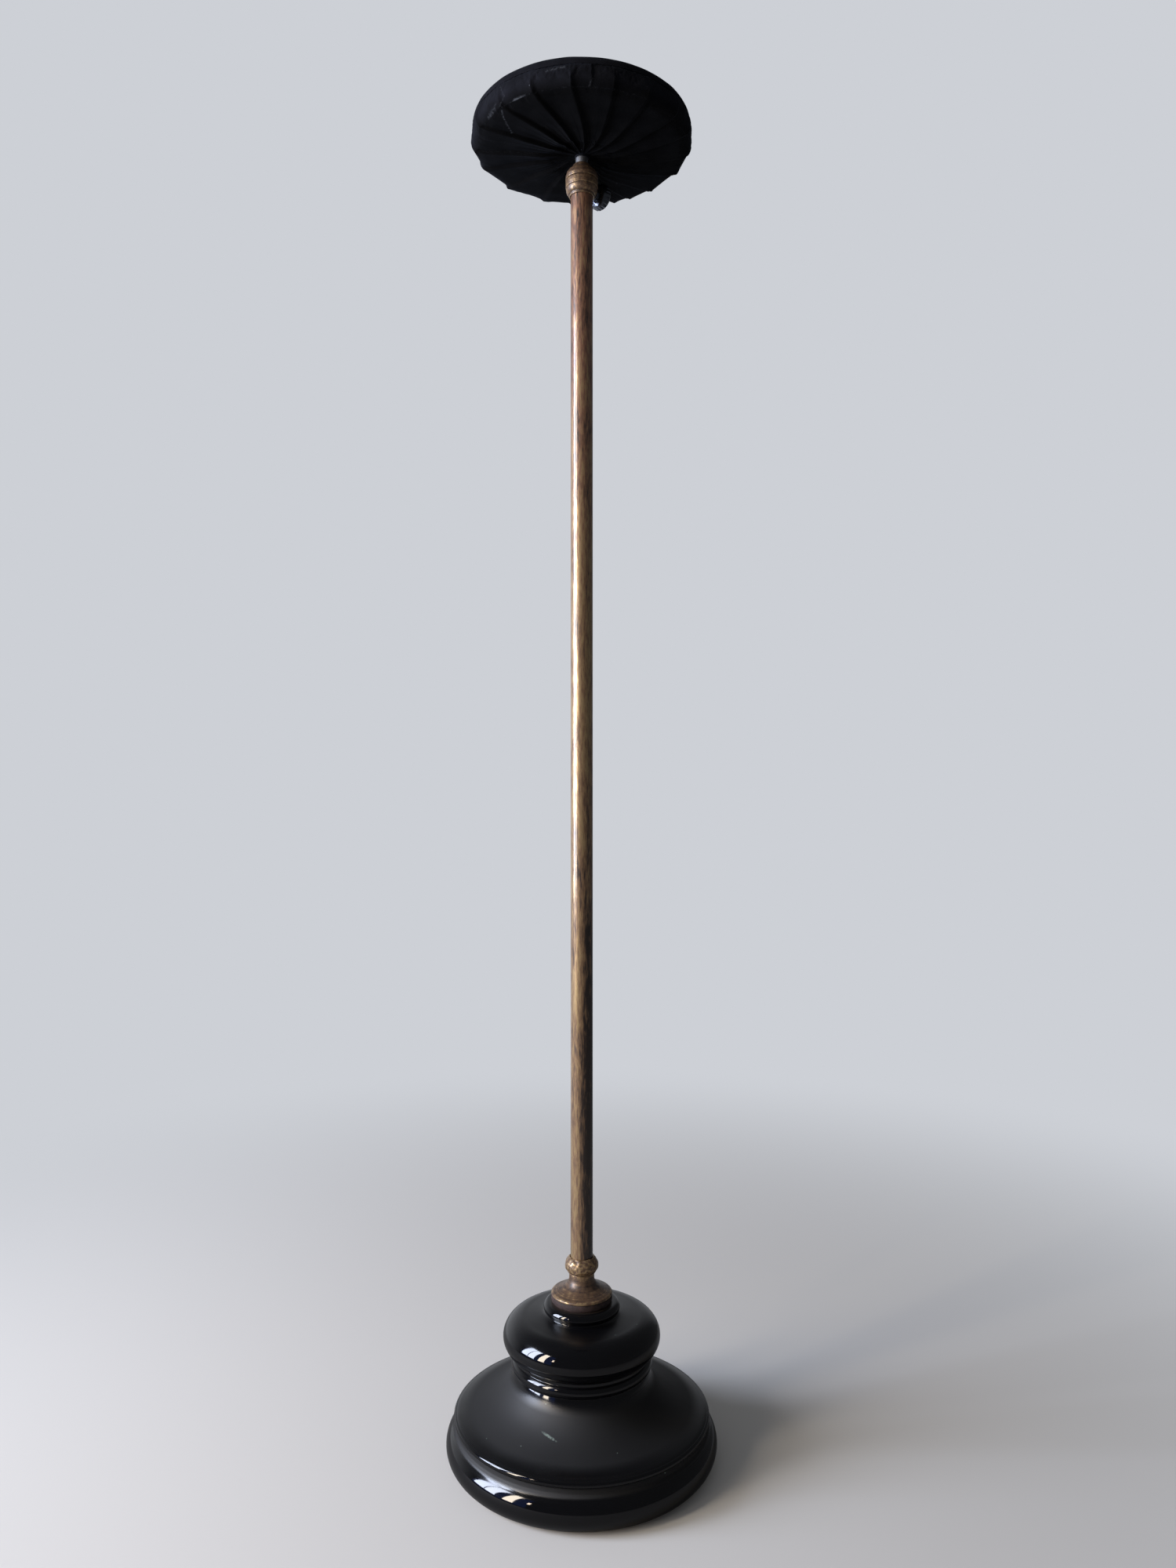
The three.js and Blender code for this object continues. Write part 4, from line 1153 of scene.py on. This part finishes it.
def across_the_collar():
    """Turns a piece made along +Z so that it lies across the collar, on the thumb screw's axis."""
    lie = Matrix.Rotation(math.pi / 2, 4, "Y")
    bearing = Matrix.Rotation(math.radians(SCREW_BEARING), 4, "Z")
    return Matrix.Translation((0, 0, SCREW_LEVEL * MM)) @ bearing @ lie


class ThumbScrewOperator(Dresser, bpy.types.Operator):
    """Turns the thumb screw: the point, the shank, the neck and the domed knob with its fluted rim"""

    bl_idname = "hat_stand.thumb_screw"
    bl_label = "Thumb screw"

    def execute(self, context):
        given = self.sizes(context)
        sizes = given["thumb_screw_sizes"]
        rim_radius = 5.7
        rim = [(rim_radius, 11.15 + 1.6 * i / 6) for i in range(7)]
        outline = [
            (0, 4.7), (1.2, 4.7), (1.35, 4.85), (1.35, 7.65), (2.3, 7.65),
            *arc(2.3, 10.75, 3.0, 1.6, -90, -15, 10),
            *rim,
            *arc(0, 13.15, 5.3, 1.3, 0, 90, 18)[:-1], (0, 14.45),
        ]
        nickel = nickel_plate(given["stand_colours"].dulled, "dulled_nickel", least=0.2, most=0.32)
        steps = sizes.flutes * 12
        screw = turned("thumb_screw_knob", eased(outline, 0.12), nickel, steps)
        finished_by(
            flute_tree(), screw,
            **{
                "Flutes": sizes.flutes, "Depth": sizes.depth, "Rim radius": rim_radius * MM,
                "Rounding": 0.25 * MM,
                "Material": nickel,
            },
        )
        screw.data.transform(across_the_collar())
        settled(faced(screw, sharp=30), "screw", "nickel_plate", "thumb_screw")
        return {"FINISHED"}


class RodOperator(Dresser, bpy.types.Operator):
    """Turns the sliding rod with its thinner tail, and the guide that runs in the tube's bore"""

    bl_idname = "hat_stand.rod"
    bl_label = "Sliding rod"

    def execute(self, context):
        given = self.sizes(context)
        colours, turning = given["stand_colours"], given["turning_sizes"]
        edge = turning.edge / MM
        outline = [
            (0, 136.05), (1.05, 136.05), (1.05, 129.9), (1.9, 129.9), (1.9, 142.3), (2.7, 142.3),
            (2.7, 591.37), (0, 591.37),
        ]
        nickel = nickel_plate(colours.nickel, "satin_nickel", least=0.5, most=0.6)
        rod = turned("nickel_rod", eased(outline, edge), nickel, turning.steps // 2)
        settled(rod, "rod", "nickel_plate", "inner_rod")
        brass = turned_brass(colours, "turned_brass_guide", gold=0.7)
        guide = turned("brass_guide", eased(ring(2.05, 3.85, 130.1, 142.1), edge), brass, turning.steps // 2)
        settled(guide, "guide", "worn_brass", "rod_guide")
        return {"FINISHED"}


class PadCoreOperator(Dresser, bpy.types.Operator):
    """Makes the pad's inside: the wadding, and the finishes of the board, the plate and its screws"""

    bl_idname = "hat_stand.pad_core"
    bl_label = "Pad core"

    def execute(self, context):
        colours = self.sizes(context)["stand_colours"]
        outline = [
            (0, 593.7), (43.4, 593.7), (44.6, 592.6), (44.6, 587.9),
            *arc(45.4, 587.9, 0.8, 0.5, 180, 270, 4)[1:],
            *flow((45.9, 587.5), (47.4, 587.9), (47.9, 589.0), (48.0, 590.4), 8),
            (47.9, 594.1), *flow((47.7, 595.6), (47.2, 597.4), (45.6, 598.2), (43.4, 598.6), 8),
            *flow((40, 599.3), (27.7, 601.2), (13.4, 602.3), (0, 602.3), 14),
        ]
        cotton = turned("cotton_wadding", outline, carded_cotton(colours), steps=160)
        battered(cotton, amount=0.22, size=5.0, seed=11)
        settled(cotton, "rod", "wadding", "pad_wadding")
        finishes = {
            "mounting_plate": turned_brass(colours, "turned_brass_plate", gold=0.6),
            "guide_bush": turned_brass(colours, "turned_brass_bush", gold=0.6),
            "column_plug": turned_brass(colours, "turned_brass_plug", gold=0.5),
            "clamp_slug": turned_brass(colours, "turned_brass_slug", gold=0.9),
            "pad_board": turned_beech(colours),
        }
        steel = plain_steel(colours)
        for node in ("end_screw", "plate_screw_1", "plate_screw_2", "plate_screw_3"):
            finishes[node] = steel
        for node, finish in finishes.items():
            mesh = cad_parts[node].data
            mesh.materials.clear()
            mesh.materials.append(finish)
        return {"FINISHED"}


# Where the folds stand out at the crease, in degrees round from +X towards +Y
FOLDS = (-157, -135, -115, -95, -74, -55, -34, -16, 5, 24, 46, 61, 71, 96, 113, 137, 161, 179)
# Where the pile is rubbed off: strokes from one place to another, each place an azimuth in degrees and a way
# out from the rod along the cloth in millimetres, then the stroke's half width in millimetres and how strong
# it is
RUBBED = (
    ((-136.3, 47.2), (-152, 34), 0.4, 0.55),
    ((-136.3, 47.2), (-133.5, 53.8), 0.35, 0.5),
    ((-127.5, 47.5), (-120.5, 47.2), 0.5, 0.75),
    ((-136.3, 47.2), (-127.5, 47.3), 0.3, 0.5),
    ((-120.5, 47.2), (-62, 47.3), 0.35, 0.35),
    ((-149, 47.6), (-139, 48.2), 0.9, 0.42),
    ((-107, 53.4), (-98, 54), 0.9, 0.45),
    ((-166, 47.5), (-160, 50), 0.8, 0.3),
    ((-86, 47.4), (-85, 50), 0.5, 0.4),
    ((-166, 45), (-156, 15), 0.4, 0.22),
    ((-178, 45), (-168, 18), 0.4, 0.2),
    ((168, 44), (174, 20), 0.4, 0.14),
)
GATHER_RADIUS, GATHER_LEVEL = 3.1, 583.2
CREASE_RADIUS, CREASE_LEVEL = 47.3, 586.3
WIDEST_RADIUS = 49.6
LAP_SEAM = -85
# Steps from the rod out to the crease, and the rim band from the crease up to the seam: how far out it is, as
# a share of the way from the crease's radius to the widest, and how far up in millimetres
UNDER_STEPS = 40
BAND = (
    *flow((0.0, 0.0), (0.75, 0.5), (1.0, 2.4), (1.0, 4.0), 12)[1:],
    *flow((1.0, 4.0), (1.0, 5.4), (0.9, 6.6), (0.78, 7.8), 8)[1:],
)


def gap_of(angle):
    """The folds on either side of an angle in degrees, and the share of the way from one to the other."""
    for first, second in zip(FOLDS, FOLDS[1:] + (FOLDS[0] + 360,)):
        for turn in (-360, 0, 360):
            if first <= angle + turn < second:
                return first, second, (angle + turn - first) / (second - first)
    raise ValueError(f"no gap holds {angle} degrees")


def fold_height(share, steep=0.16):
    """A knife pleat between two folds: down steeply from the first and up gently to the second."""
    fall = max(0.0, 1 - share / steep)
    return max(fall * fall * (3 - 2 * fall), share**1.7)


def crease_at(angle):
    """At an angle round the crease: the share of the way from one fold to the next, how far the straight
    edge between them lies outside the crease's circle, which is below 0, and how far the pleat's lip stands
    out."""
    first, second, share = gap_of(angle)
    half = math.radians(second - first) / 2
    chord = CREASE_RADIUS * math.cos(half) / math.cos(half * (2 * share - 1))
    return share, chord - CREASE_RADIUS, 0.9 * (fold_height(share, steep=0.12) - 0.45)


def underside(angle, depth, slant):
    """The pleated underside along one angle, from the rod out to the crease, as radii and levels."""
    way = Vector((math.cos(math.radians(angle)), math.sin(math.radians(angle)), 0))
    column = []
    for i in range(UNDER_STEPS + 1):
        t = (i / UNDER_STEPS) ** 1.15
        lean = angle - slant * (1 - t) ** 1.3
        share, straight, lip = crease_at((lean + 180) % 360 - 180)
        rim = CREASE_RADIUS + (straight + lip) * t**4
        radius = GATHER_RADIUS + (rim - GATHER_RADIUS) * t
        swell = math.sin(math.pi * min(1.0, t**0.7)) ** 0.8
        relief = depth * fold_height(share) * (0.22 + 0.78 * swell) * min(1.0, t * 5 + 0.1)
        relief += 0.3 * depth * fold_height(share * 3 % 1, steep=0.3) * (1 - t) ** 2 * min(1.0, t * 7)
        relief += 0.22 * noise.noise(way * radius / 7 + Vector((0, 0, 4))) * min(1.0, t * 5)
        column.append((radius, GATHER_LEVEL + (CREASE_LEVEL - GATHER_LEVEL) * t - relief))
    return column


def rim_band(angle, depth):
    """The rim band along one angle, from the crease up to the seam, as radii and levels. The pleats and the
    corners at the folds die out on the way up, and one end of the strip laps over the other."""
    share, straight, lip = crease_at(angle)
    past = (LAP_SEAM - angle) % 360
    lap = 0.5 * math.exp(-past / 5) if past < 40 else 0.0
    column = []
    for out, rise in BAND:
        soft = max(0.0, 1 - rise / 6.5)
        circle = CREASE_RADIUS + (WIDEST_RADIUS - CREASE_RADIUS) * out
        corners = straight * (0.4 + 0.6 * soft**1.5) + lip * soft**1.5
        radius = circle + corners + lap * min(1.0, rise / 1.5)
        spot = Vector((math.cos(math.radians(angle)) * 8, math.sin(math.radians(angle)) * 8, rise / 4))
        radius = min(radius + 0.14 * noise.noise(spot), WIDEST_RADIUS + 0.5)
        column.append((radius, CREASE_LEVEL + rise - depth * fold_height(share) * 0.3 * soft**3))
    return column


def rubbing(angle, way):
    """How far the pile is rubbed off at an azimuth in degrees and a way out from the rod in millimetres."""
    here = Vector((math.radians(angle) * min(way, WIDEST_RADIUS), way))
    most = 0.0
    for start, end, half, strength in RUBBED:
        ends = [Vector((math.radians(a) * min(w, WIDEST_RADIUS), w)) for a, w in (start, end)]
        line = ends[1] - ends[0]
        share = max(0.0, min(1.0, (here - ends[0]).dot(line) / line.length_squared))
        away = (here - ends[0] - line * share).length
        most = max(most, strength * math.exp(-((away / half) ** 2)))
    return most


def hold_at(row, count):
    """How firmly the cloth is held at a row of points: fixed at the gather and at the seam, less on the way
    from them and along the crease, and not at all in between."""
    from_gather, from_seam, from_crease = row, count - 1 - row, abs(row - UNDER_STEPS)
    if min(from_gather, from_seam) < 2:
        return 1.0
    return max(0.0, 0.85 - 0.06 * from_gather, 0.5 - 0.12 * from_seam, 0.3 - 0.1 * from_crease)


def simulated(piece, holds, sizes):
    """Runs Blender's cloth on a sheet whose points are held as firmly as holds says. The wadding presses it
    outwards, and cloth that is cut a little slack buckles between the places that hold it. It runs ten times
    as large as it is, because the solver is made for bigger cloth, and each point keeps near its start."""
    larger = 10
    mesh = piece.data
    start = [(vertex.co.copy(), vertex.normal.copy()) for vertex in mesh.vertices]
    held = piece.vertex_groups.new(name="held")
    for index, hold in enumerate(holds):
        held.add([index], hold, "REPLACE")
    mesh.transform(Matrix.Scale(larger, 4))
    cloth = piece.modifiers.new("Cloth", "CLOTH").settings
    cloth.quality = 4
    cloth.mass = 0.15
    cloth.tension_stiffness = cloth.compression_stiffness = 20
    cloth.shear_stiffness = 8
    cloth.bending_stiffness = 0.4
    cloth.shrink_min = -sizes.slack
    cloth.vertex_group_mass = "held"
    cloth.use_pressure = True
    cloth.uniform_pressure_force = sizes.pressure
    cloth.effector_weights.gravity = 0
    scene = bpy.context.scene
    for number in range(1, sizes.settling + 1):
        scene.frame_set(number)
    made_plain(piece)
    scene.frame_set(1)
    piece.vertex_groups.clear()
    for vertex, (before, normal) in zip(piece.data.vertices, start):
        move = vertex.co / larger - before
        # Nearly all of a move inwards is taken back, so that the cloth stays clear of the board.
        move -= normal * min(0.0, move.dot(normal)) * 0.9
        vertex.co = before + move / math.sqrt(1 + (move.length / sizes.give) ** 2)
    return piece


class SkirtOperator(Dresser, bpy.types.Operator):
    """Gathers the velvet skirt: the rim band with its lapped seam, the crease and the pleats. Then the cloth
    settles"""

    bl_idname = "hat_stand.skirt"
    bl_label = "Velvet skirt"

    def execute(self, context):
        given = self.sizes(context)
        sizes = given["pad_sizes"]
        depth, slant = sizes.pleat_depth / MM, math.degrees(sizes.slant)
        vertices, rubbed = [], []
        for step in range(sizes.steps):
            angle = 360 * step / sizes.steps - 180
            under = underside(angle, depth, slant)
            for radius, level in under + rim_band(angle, depth):
                across, along = radius * math.cos(math.radians(angle)), radius * math.sin(math.radians(angle))
                vertices.append((across * MM, along * MM, level * MM))
            rubbed += [rubbing(angle, radius) for radius, level in under]
            rubbed += [rubbing(angle, CREASE_RADIUS + rise) for _, rise in BAND]
        count = UNDER_STEPS + 1 + len(BAND)
        faces = []
        for step in range(sizes.steps):
            here, there = step * count, (step + 1) % sizes.steps * count
            faces += [(here + i, there + i, there + i + 1, here + i + 1) for i in range(count - 1)]
        mesh = bpy.data.meshes.new("velvet_skirt_cloth")
        mesh.from_pydata(vertices, [], faces)
        mesh.materials.append(cotton_velvet(given["stand_colours"]))
        skirt = new_piece("velvet_skirt_cloth", mesh)
        marked(skirt, "rubbed", lambda vertex: rubbed[vertex.index])
        # Near the seam the band stands upright, so its faces say which way round the sheet is.
        outwards = 0.0
        for face in mesh.polygons:
            if face.center.z > 590 * MM:
                outwards += face.normal.dot(Vector((face.center.x, face.center.y, 0)))
        if outwards < 0:
            mesh.flip_normals()
        simulated(skirt, [hold_at(row, count) for row in range(count)] * sizes.steps, sizes)
        wall = skirt.modifiers.new("Cloth", "SOLIDIFY")
        wall.thickness = sizes.cloth
        wall.offset = -1
        made_plain(skirt)
        skirt.data.shade_smooth()
        settled(skirt, "rod", "black_velvet", "velvet_skirt")
        return {"FINISHED"}


class CrownOperator(Dresser, bpy.types.Operator):
    """Stretches the velvet crown over the pad and stitches it to the skirt"""

    bl_idname = "hat_stand.crown"
    bl_label = "Velvet crown"

    def execute(self, context):
        given = self.sizes(context)
        sizes = given["pad_sizes"]
        cloth = sizes.cloth / MM
        outer = [
            *flow((48.9, 594.35), (48.95, 596.9), (47.3, 598.7), (44.7, 599.6), 14),
            *flow((44.7, 599.6), (27.7, 602.33), (13.4, 603.5), (0, 603.5), 40)[1:],
        ]
        inner = [
            *flow(
                (0, 603.5 - cloth), (13.4, 603.5 - cloth), (27.7, 602.33 - cloth), (44.3, 599.6 - cloth), 30
            ),
            *flow((44.3, 599.6 - cloth), (46.6, 598.1), (48.1, 596.7), (48.1, 594.35), 10)[1:],
        ]
        outline = [*outer, *inner, outer[0]]
        velvet = cotton_velvet(given["stand_colours"])
        crown = turned("velvet_crown_cloth", eased(outline, 0.25), velvet, steps=240)
        battered(crown, amount=0.12, size=7.0, seed=21)
        marked(crown, "rubbed", lambda vertex: 0.0)
        settled(crown, "rod", "black_velvet", "velvet_crown")
        stitches = new_piece("seam_stitches", bpy.data.meshes.new("seam_stitches"))
        finished_by(
            stitch_tree(), stitches,
            **{
                "Count": sizes.stitches, "Ring radius": 48.85 * MM, "Level": 594.25 * MM,
                "Stitch length": 1.1 * MM,
                "Thickness": 0.2 * MM, "Material": linen_thread(given["stand_colours"]),
            },
        )
        settled(faced(stitches, sharp=60), "rod", "sewing_thread")
        return {"FINISHED"}


class GatherOperator(Dresser, bpy.types.Operator):
    """Winds the thread that draws the velvet in round the rod"""

    bl_idname = "hat_stand.gather"
    bl_label = "Gather thread"

    def execute(self, context):
        given = self.sizes(context)
        sizes = given["gather_thread_sizes"]
        thread = linen_thread(given["stand_colours"])
        winding = new_piece("thread_winding", bpy.data.meshes.new("thread_winding"))
        finished_by(
            winding_tree(), winding,
            **{
                "Turns": sizes.turns, "Radius": 3.05 * MM, "Bottom": 582.45 * MM, "Rise": 0.7 * MM,
                "Thickness": sizes.thickness, "Steps": 48, "Sides": 8, "Material": thread,
            },
        )
        settled(faced(winding, sharp=60), "rod", "sewing_thread", "gather_thread")
        return {"FINISHED"}


# The tall soft lamps to the left, and the wide blue panel behind them: the bearing in degrees round from +X,
# the width, the height, the level of the middle and the distance from the column in metres, the colour, and
# the strength as a share of the lamps' setting. The panel's share is a setting of its own.
PANES = (
    (185, 0.2, 0.94, 0.59, 1.1, "#dfe9ff", 1.0),
    (196.5, 0.2, 0.94, 0.59, 1.1, "#e6eeff", 1.0),
    (213, 0.16, 0.94, 0.59, 1.1, "#fff1dc", 1.0),
    (229, 0.05, 0.2, 0.52, 1.1, "#ffe9cf", 1.0),
)
PANEL = (203, 1.1, 1.1, 0.59, 1.16, "#3c66c8")
# In metres: where the photograph was taken from, the floor's radius and how far it lies below the foot, and
# how far out it starts and stops to fade into the backdrop
EYE = (0.00283, -0.5106, 0.3007)
FLOOR_RADIUS, FLOOR_DROP = 6.0, 0.0002
FADE_START, FADE_END = 0.14, 0.7
# How bright gloss mirrors the floor, as a share of it, and which way the surroundings are bright in gloss
MIRRORED_FLOOR = 0.3
BRIGHT_WAY = (-0.45, 0.89, 0)


def in_gloss(tree):
    """1 for a ray that a glossy or clear surface sends on, and 0 for any other."""
    path = add_node(tree, "ShaderNodeLightPath").outputs
    return add_node(
        tree, "ShaderNodeMath", {0: path["Is Glossy Ray"], 1: path["Is Transmission Ray"]},
        operation="ADD", use_clamp=True,
    ).outputs[0]


def surroundings(tree, way, given):
    """How strongly the surroundings shine towards a ray: fully for the camera, softly as fill light, and for
    gloss and metal brightly behind the stand and dimly above and in front."""
    seen = add_node(tree, "ShaderNodeLightPath").outputs["Is Camera Ray"]
    mirrored = in_gloss(tree)
    part = add_node(tree, "ShaderNodeSeparateXYZ", {0: way}).outputs
    lean = add_node(
        tree, "ShaderNodeVectorMath", {0: way, 1: BRIGHT_WAY}, operation="DOT_PRODUCT"
    ).outputs["Value"]
    back = add_node(tree, "ShaderNodeMapRange", {0: lean, 1: 0.5, 2: 0.95}).outputs[0]
    low = add_node(tree, "ShaderNodeMapRange", {0: part[2], 1: 0.3, 2: 0.75, 3: 1.0, 4: 0.0}).outputs[0]
    bright = add_node(tree, "ShaderNodeMath", {0: back, 1: low}, operation="MULTIPLY").outputs[0]
    shine = add_node(tree, "ShaderNodeMapRange", {0: bright, 3: given.dim, 4: 1.0}).outputs[0]
    lit = add_node(tree, "ShaderNodeMix", {0: mirrored, 2: given.fill, 3: shine}).outputs[0]
    return add_node(tree, "ShaderNodeMix", {0: seen, 2: lit, 3: 1.0}).outputs[0]


def matt_floor(given):
    """Matt painted board: pale and even, and it fades into the backdrop, so that no edge of it shows. Gloss
    and metal mirror it dimly, so that the black glaze keeps its depth. From below it is clear."""
    material, tree, surface = new_finish("matt_floor", Roughness=0.85)
    shade = add_node(
        tree, "ShaderNodeMix",
        {0: in_gloss(tree), 6: paint(given.floor), 7: paint(given.floor, MIRRORED_FLOOR)},
        data_type="RGBA",
    ).outputs[2]
    tree.links.new(shade, surface["Base Color"])
    place = add_node(tree, "ShaderNodeTexCoord").outputs["Object"]
    away = add_node(tree, "ShaderNodeVectorMath", {0: place}, operation="LENGTH").outputs["Value"]
    fade = add_node(
        tree, "ShaderNodeMapRange", {0: away, 1: FADE_START, 2: FADE_END}, interpolation_type="SMOOTHSTEP"
    ).outputs[0]
    way = add_node(tree, "ShaderNodeVectorMath", {0: place}, operation="NORMALIZE").outputs["Vector"]
    strength = surroundings(tree, way, given)
    far = add_node(
        tree, "ShaderNodeEmission", {"Color": paint(given.backdrop), "Strength": strength}
    ).outputs[0]
    near = surface[0].node.outputs[0]
    faded = add_node(tree, "ShaderNodeMixShader", {0: fade, 1: near, 2: far}).outputs[0]
    behind = add_node(tree, "ShaderNodeNewGeometry").outputs["Backfacing"]
    clear = add_node(tree, "ShaderNodeBsdfTransparent").outputs[0]
    result = add_node(tree, "ShaderNodeMixShader", {0: behind, 1: faded, 2: clear}).outputs[0]
    add_node(tree, "ShaderNodeOutputMaterial", {"Surface": result}).is_active_output = True
    return material


class StageOperator(Dresser, bpy.types.Operator):
    """Sets up the pale floor, the soft lamps, the pale surroundings and the camera"""

    bl_idname = "hat_stand.stage"
    bl_label = "Studio"

    def execute(self, context):
        given = self.sizes(context)["studio_sizes"]
        scene = context.scene
        scene.view_settings.view_transform = "Standard"

        world = bpy.data.worlds.new("pale_surroundings")
        world.use_nodes = True
        tree = world.node_tree
        tree.nodes.clear()
        way = add_node(tree, "ShaderNodeTexCoord").outputs["Generated"]
        strength = surroundings(tree, way, given)
        light = add_node(
            tree, "ShaderNodeBackground", {"Color": paint(given.backdrop), "Strength": strength}
        ).outputs[0]
        add_node(tree, "ShaderNodeOutputWorld", {"Surface": light})
        scene.world = world

        floor_paint = matt_floor(given)
        work = bmesh.new()
        bmesh.ops.create_circle(work, cap_ends=True, segments=96, radius=FLOOR_RADIUS)
        mesh = bpy.data.meshes.new("floor")
        bmesh.ops.translate(work, verts=work.verts, vec=(0, 0, -FLOOR_DROP))
        work.to_mesh(mesh)
        work.free()
        mesh.materials.append(floor_paint)
        new_piece("floor", mesh)

        lamps = (*PANES, (*PANEL, given.glow))
        for number, (bearing, wide, tall, level, away, tint, share) in enumerate(lamps, 1):
            lamp = bpy.data.lights.new(f"pane_{number}", "AREA")
            lamp.shape = "RECTANGLE"
            lamp.size = wide
            lamp.size_y = tall
            lamp.color = linear(tint)
            lamp.energy = given.lamps * share * wide * tall
            holder = bpy.data.objects.new(lamp.name, lamp)
            side = Vector((math.cos(math.radians(bearing)), math.sin(math.radians(bearing)), 0))
            holder.location = side * away + Vector((0, 0, level))
            holder.rotation_euler = (-side).to_track_quat("-Z", "Y").to_euler()
            holder.visible_camera = False
            scene.collection.objects.link(holder)

        eye = bpy.data.cameras.new("camera")
        eye.lens = given.lens
        eye.clip_start = 0.01
        camera = bpy.data.objects.new("camera", eye)
        camera.location = EYE
        camera.rotation_euler = (math.radians(90), 0, 0)
        scene.collection.objects.link(camera)
        scene.camera = camera
        return {"FINISHED"}


OPERATORS = (
    FootOperator, FootFixingsOperator, ColumnOperator, ClampOperator, ThumbScrewOperator, RodOperator,
    PadCoreOperator, SkirtOperator, CrownOperator, GatherOperator, StageOperator,
)


class HatStandPanel(bpy.types.Panel):
    """Lists the stand's pieces, with their sizes and colours"""

    bl_idname = "VIEW3D_PT_hat_stand"
    bl_label = "Milliner's hat stand"
    bl_space_type = "VIEW_3D"
    bl_region_type = "UI"
    bl_category = "Hat stand"

    def draw(self, context):
        for operator in OPERATORS:
            self.layout.operator(operator.bl_idname)
        for name, group in GROUPS.items():
            box = self.layout.box()
            box.label(text=group.__doc__)
            for key in group.__annotations__:
                box.prop(getattr(context.scene, name), key)


def register():
    for group in GROUPS.values():
        bpy.utils.register_class(group)
    for name, group in GROUPS.items():
        setattr(bpy.types.Scene, name, PointerProperty(type=group))
    for operator in OPERATORS:
        bpy.utils.register_class(operator)
    bpy.utils.register_class(HatStandPanel)


def unregister():
    bpy.utils.unregister_class(HatStandPanel)
    for operator in reversed(OPERATORS):
        bpy.utils.unregister_class(operator)
    for name in GROUPS:
        delattr(bpy.types.Scene, name)
    for group in reversed(GROUPS.values()):
        bpy.utils.unregister_class(group)


def main():
    register()
    for operator in OPERATORS:
        family, name = operator.bl_idname.split(".")
        getattr(getattr(bpy.ops, family), name)()


if __name__ == "__main__":
    main()
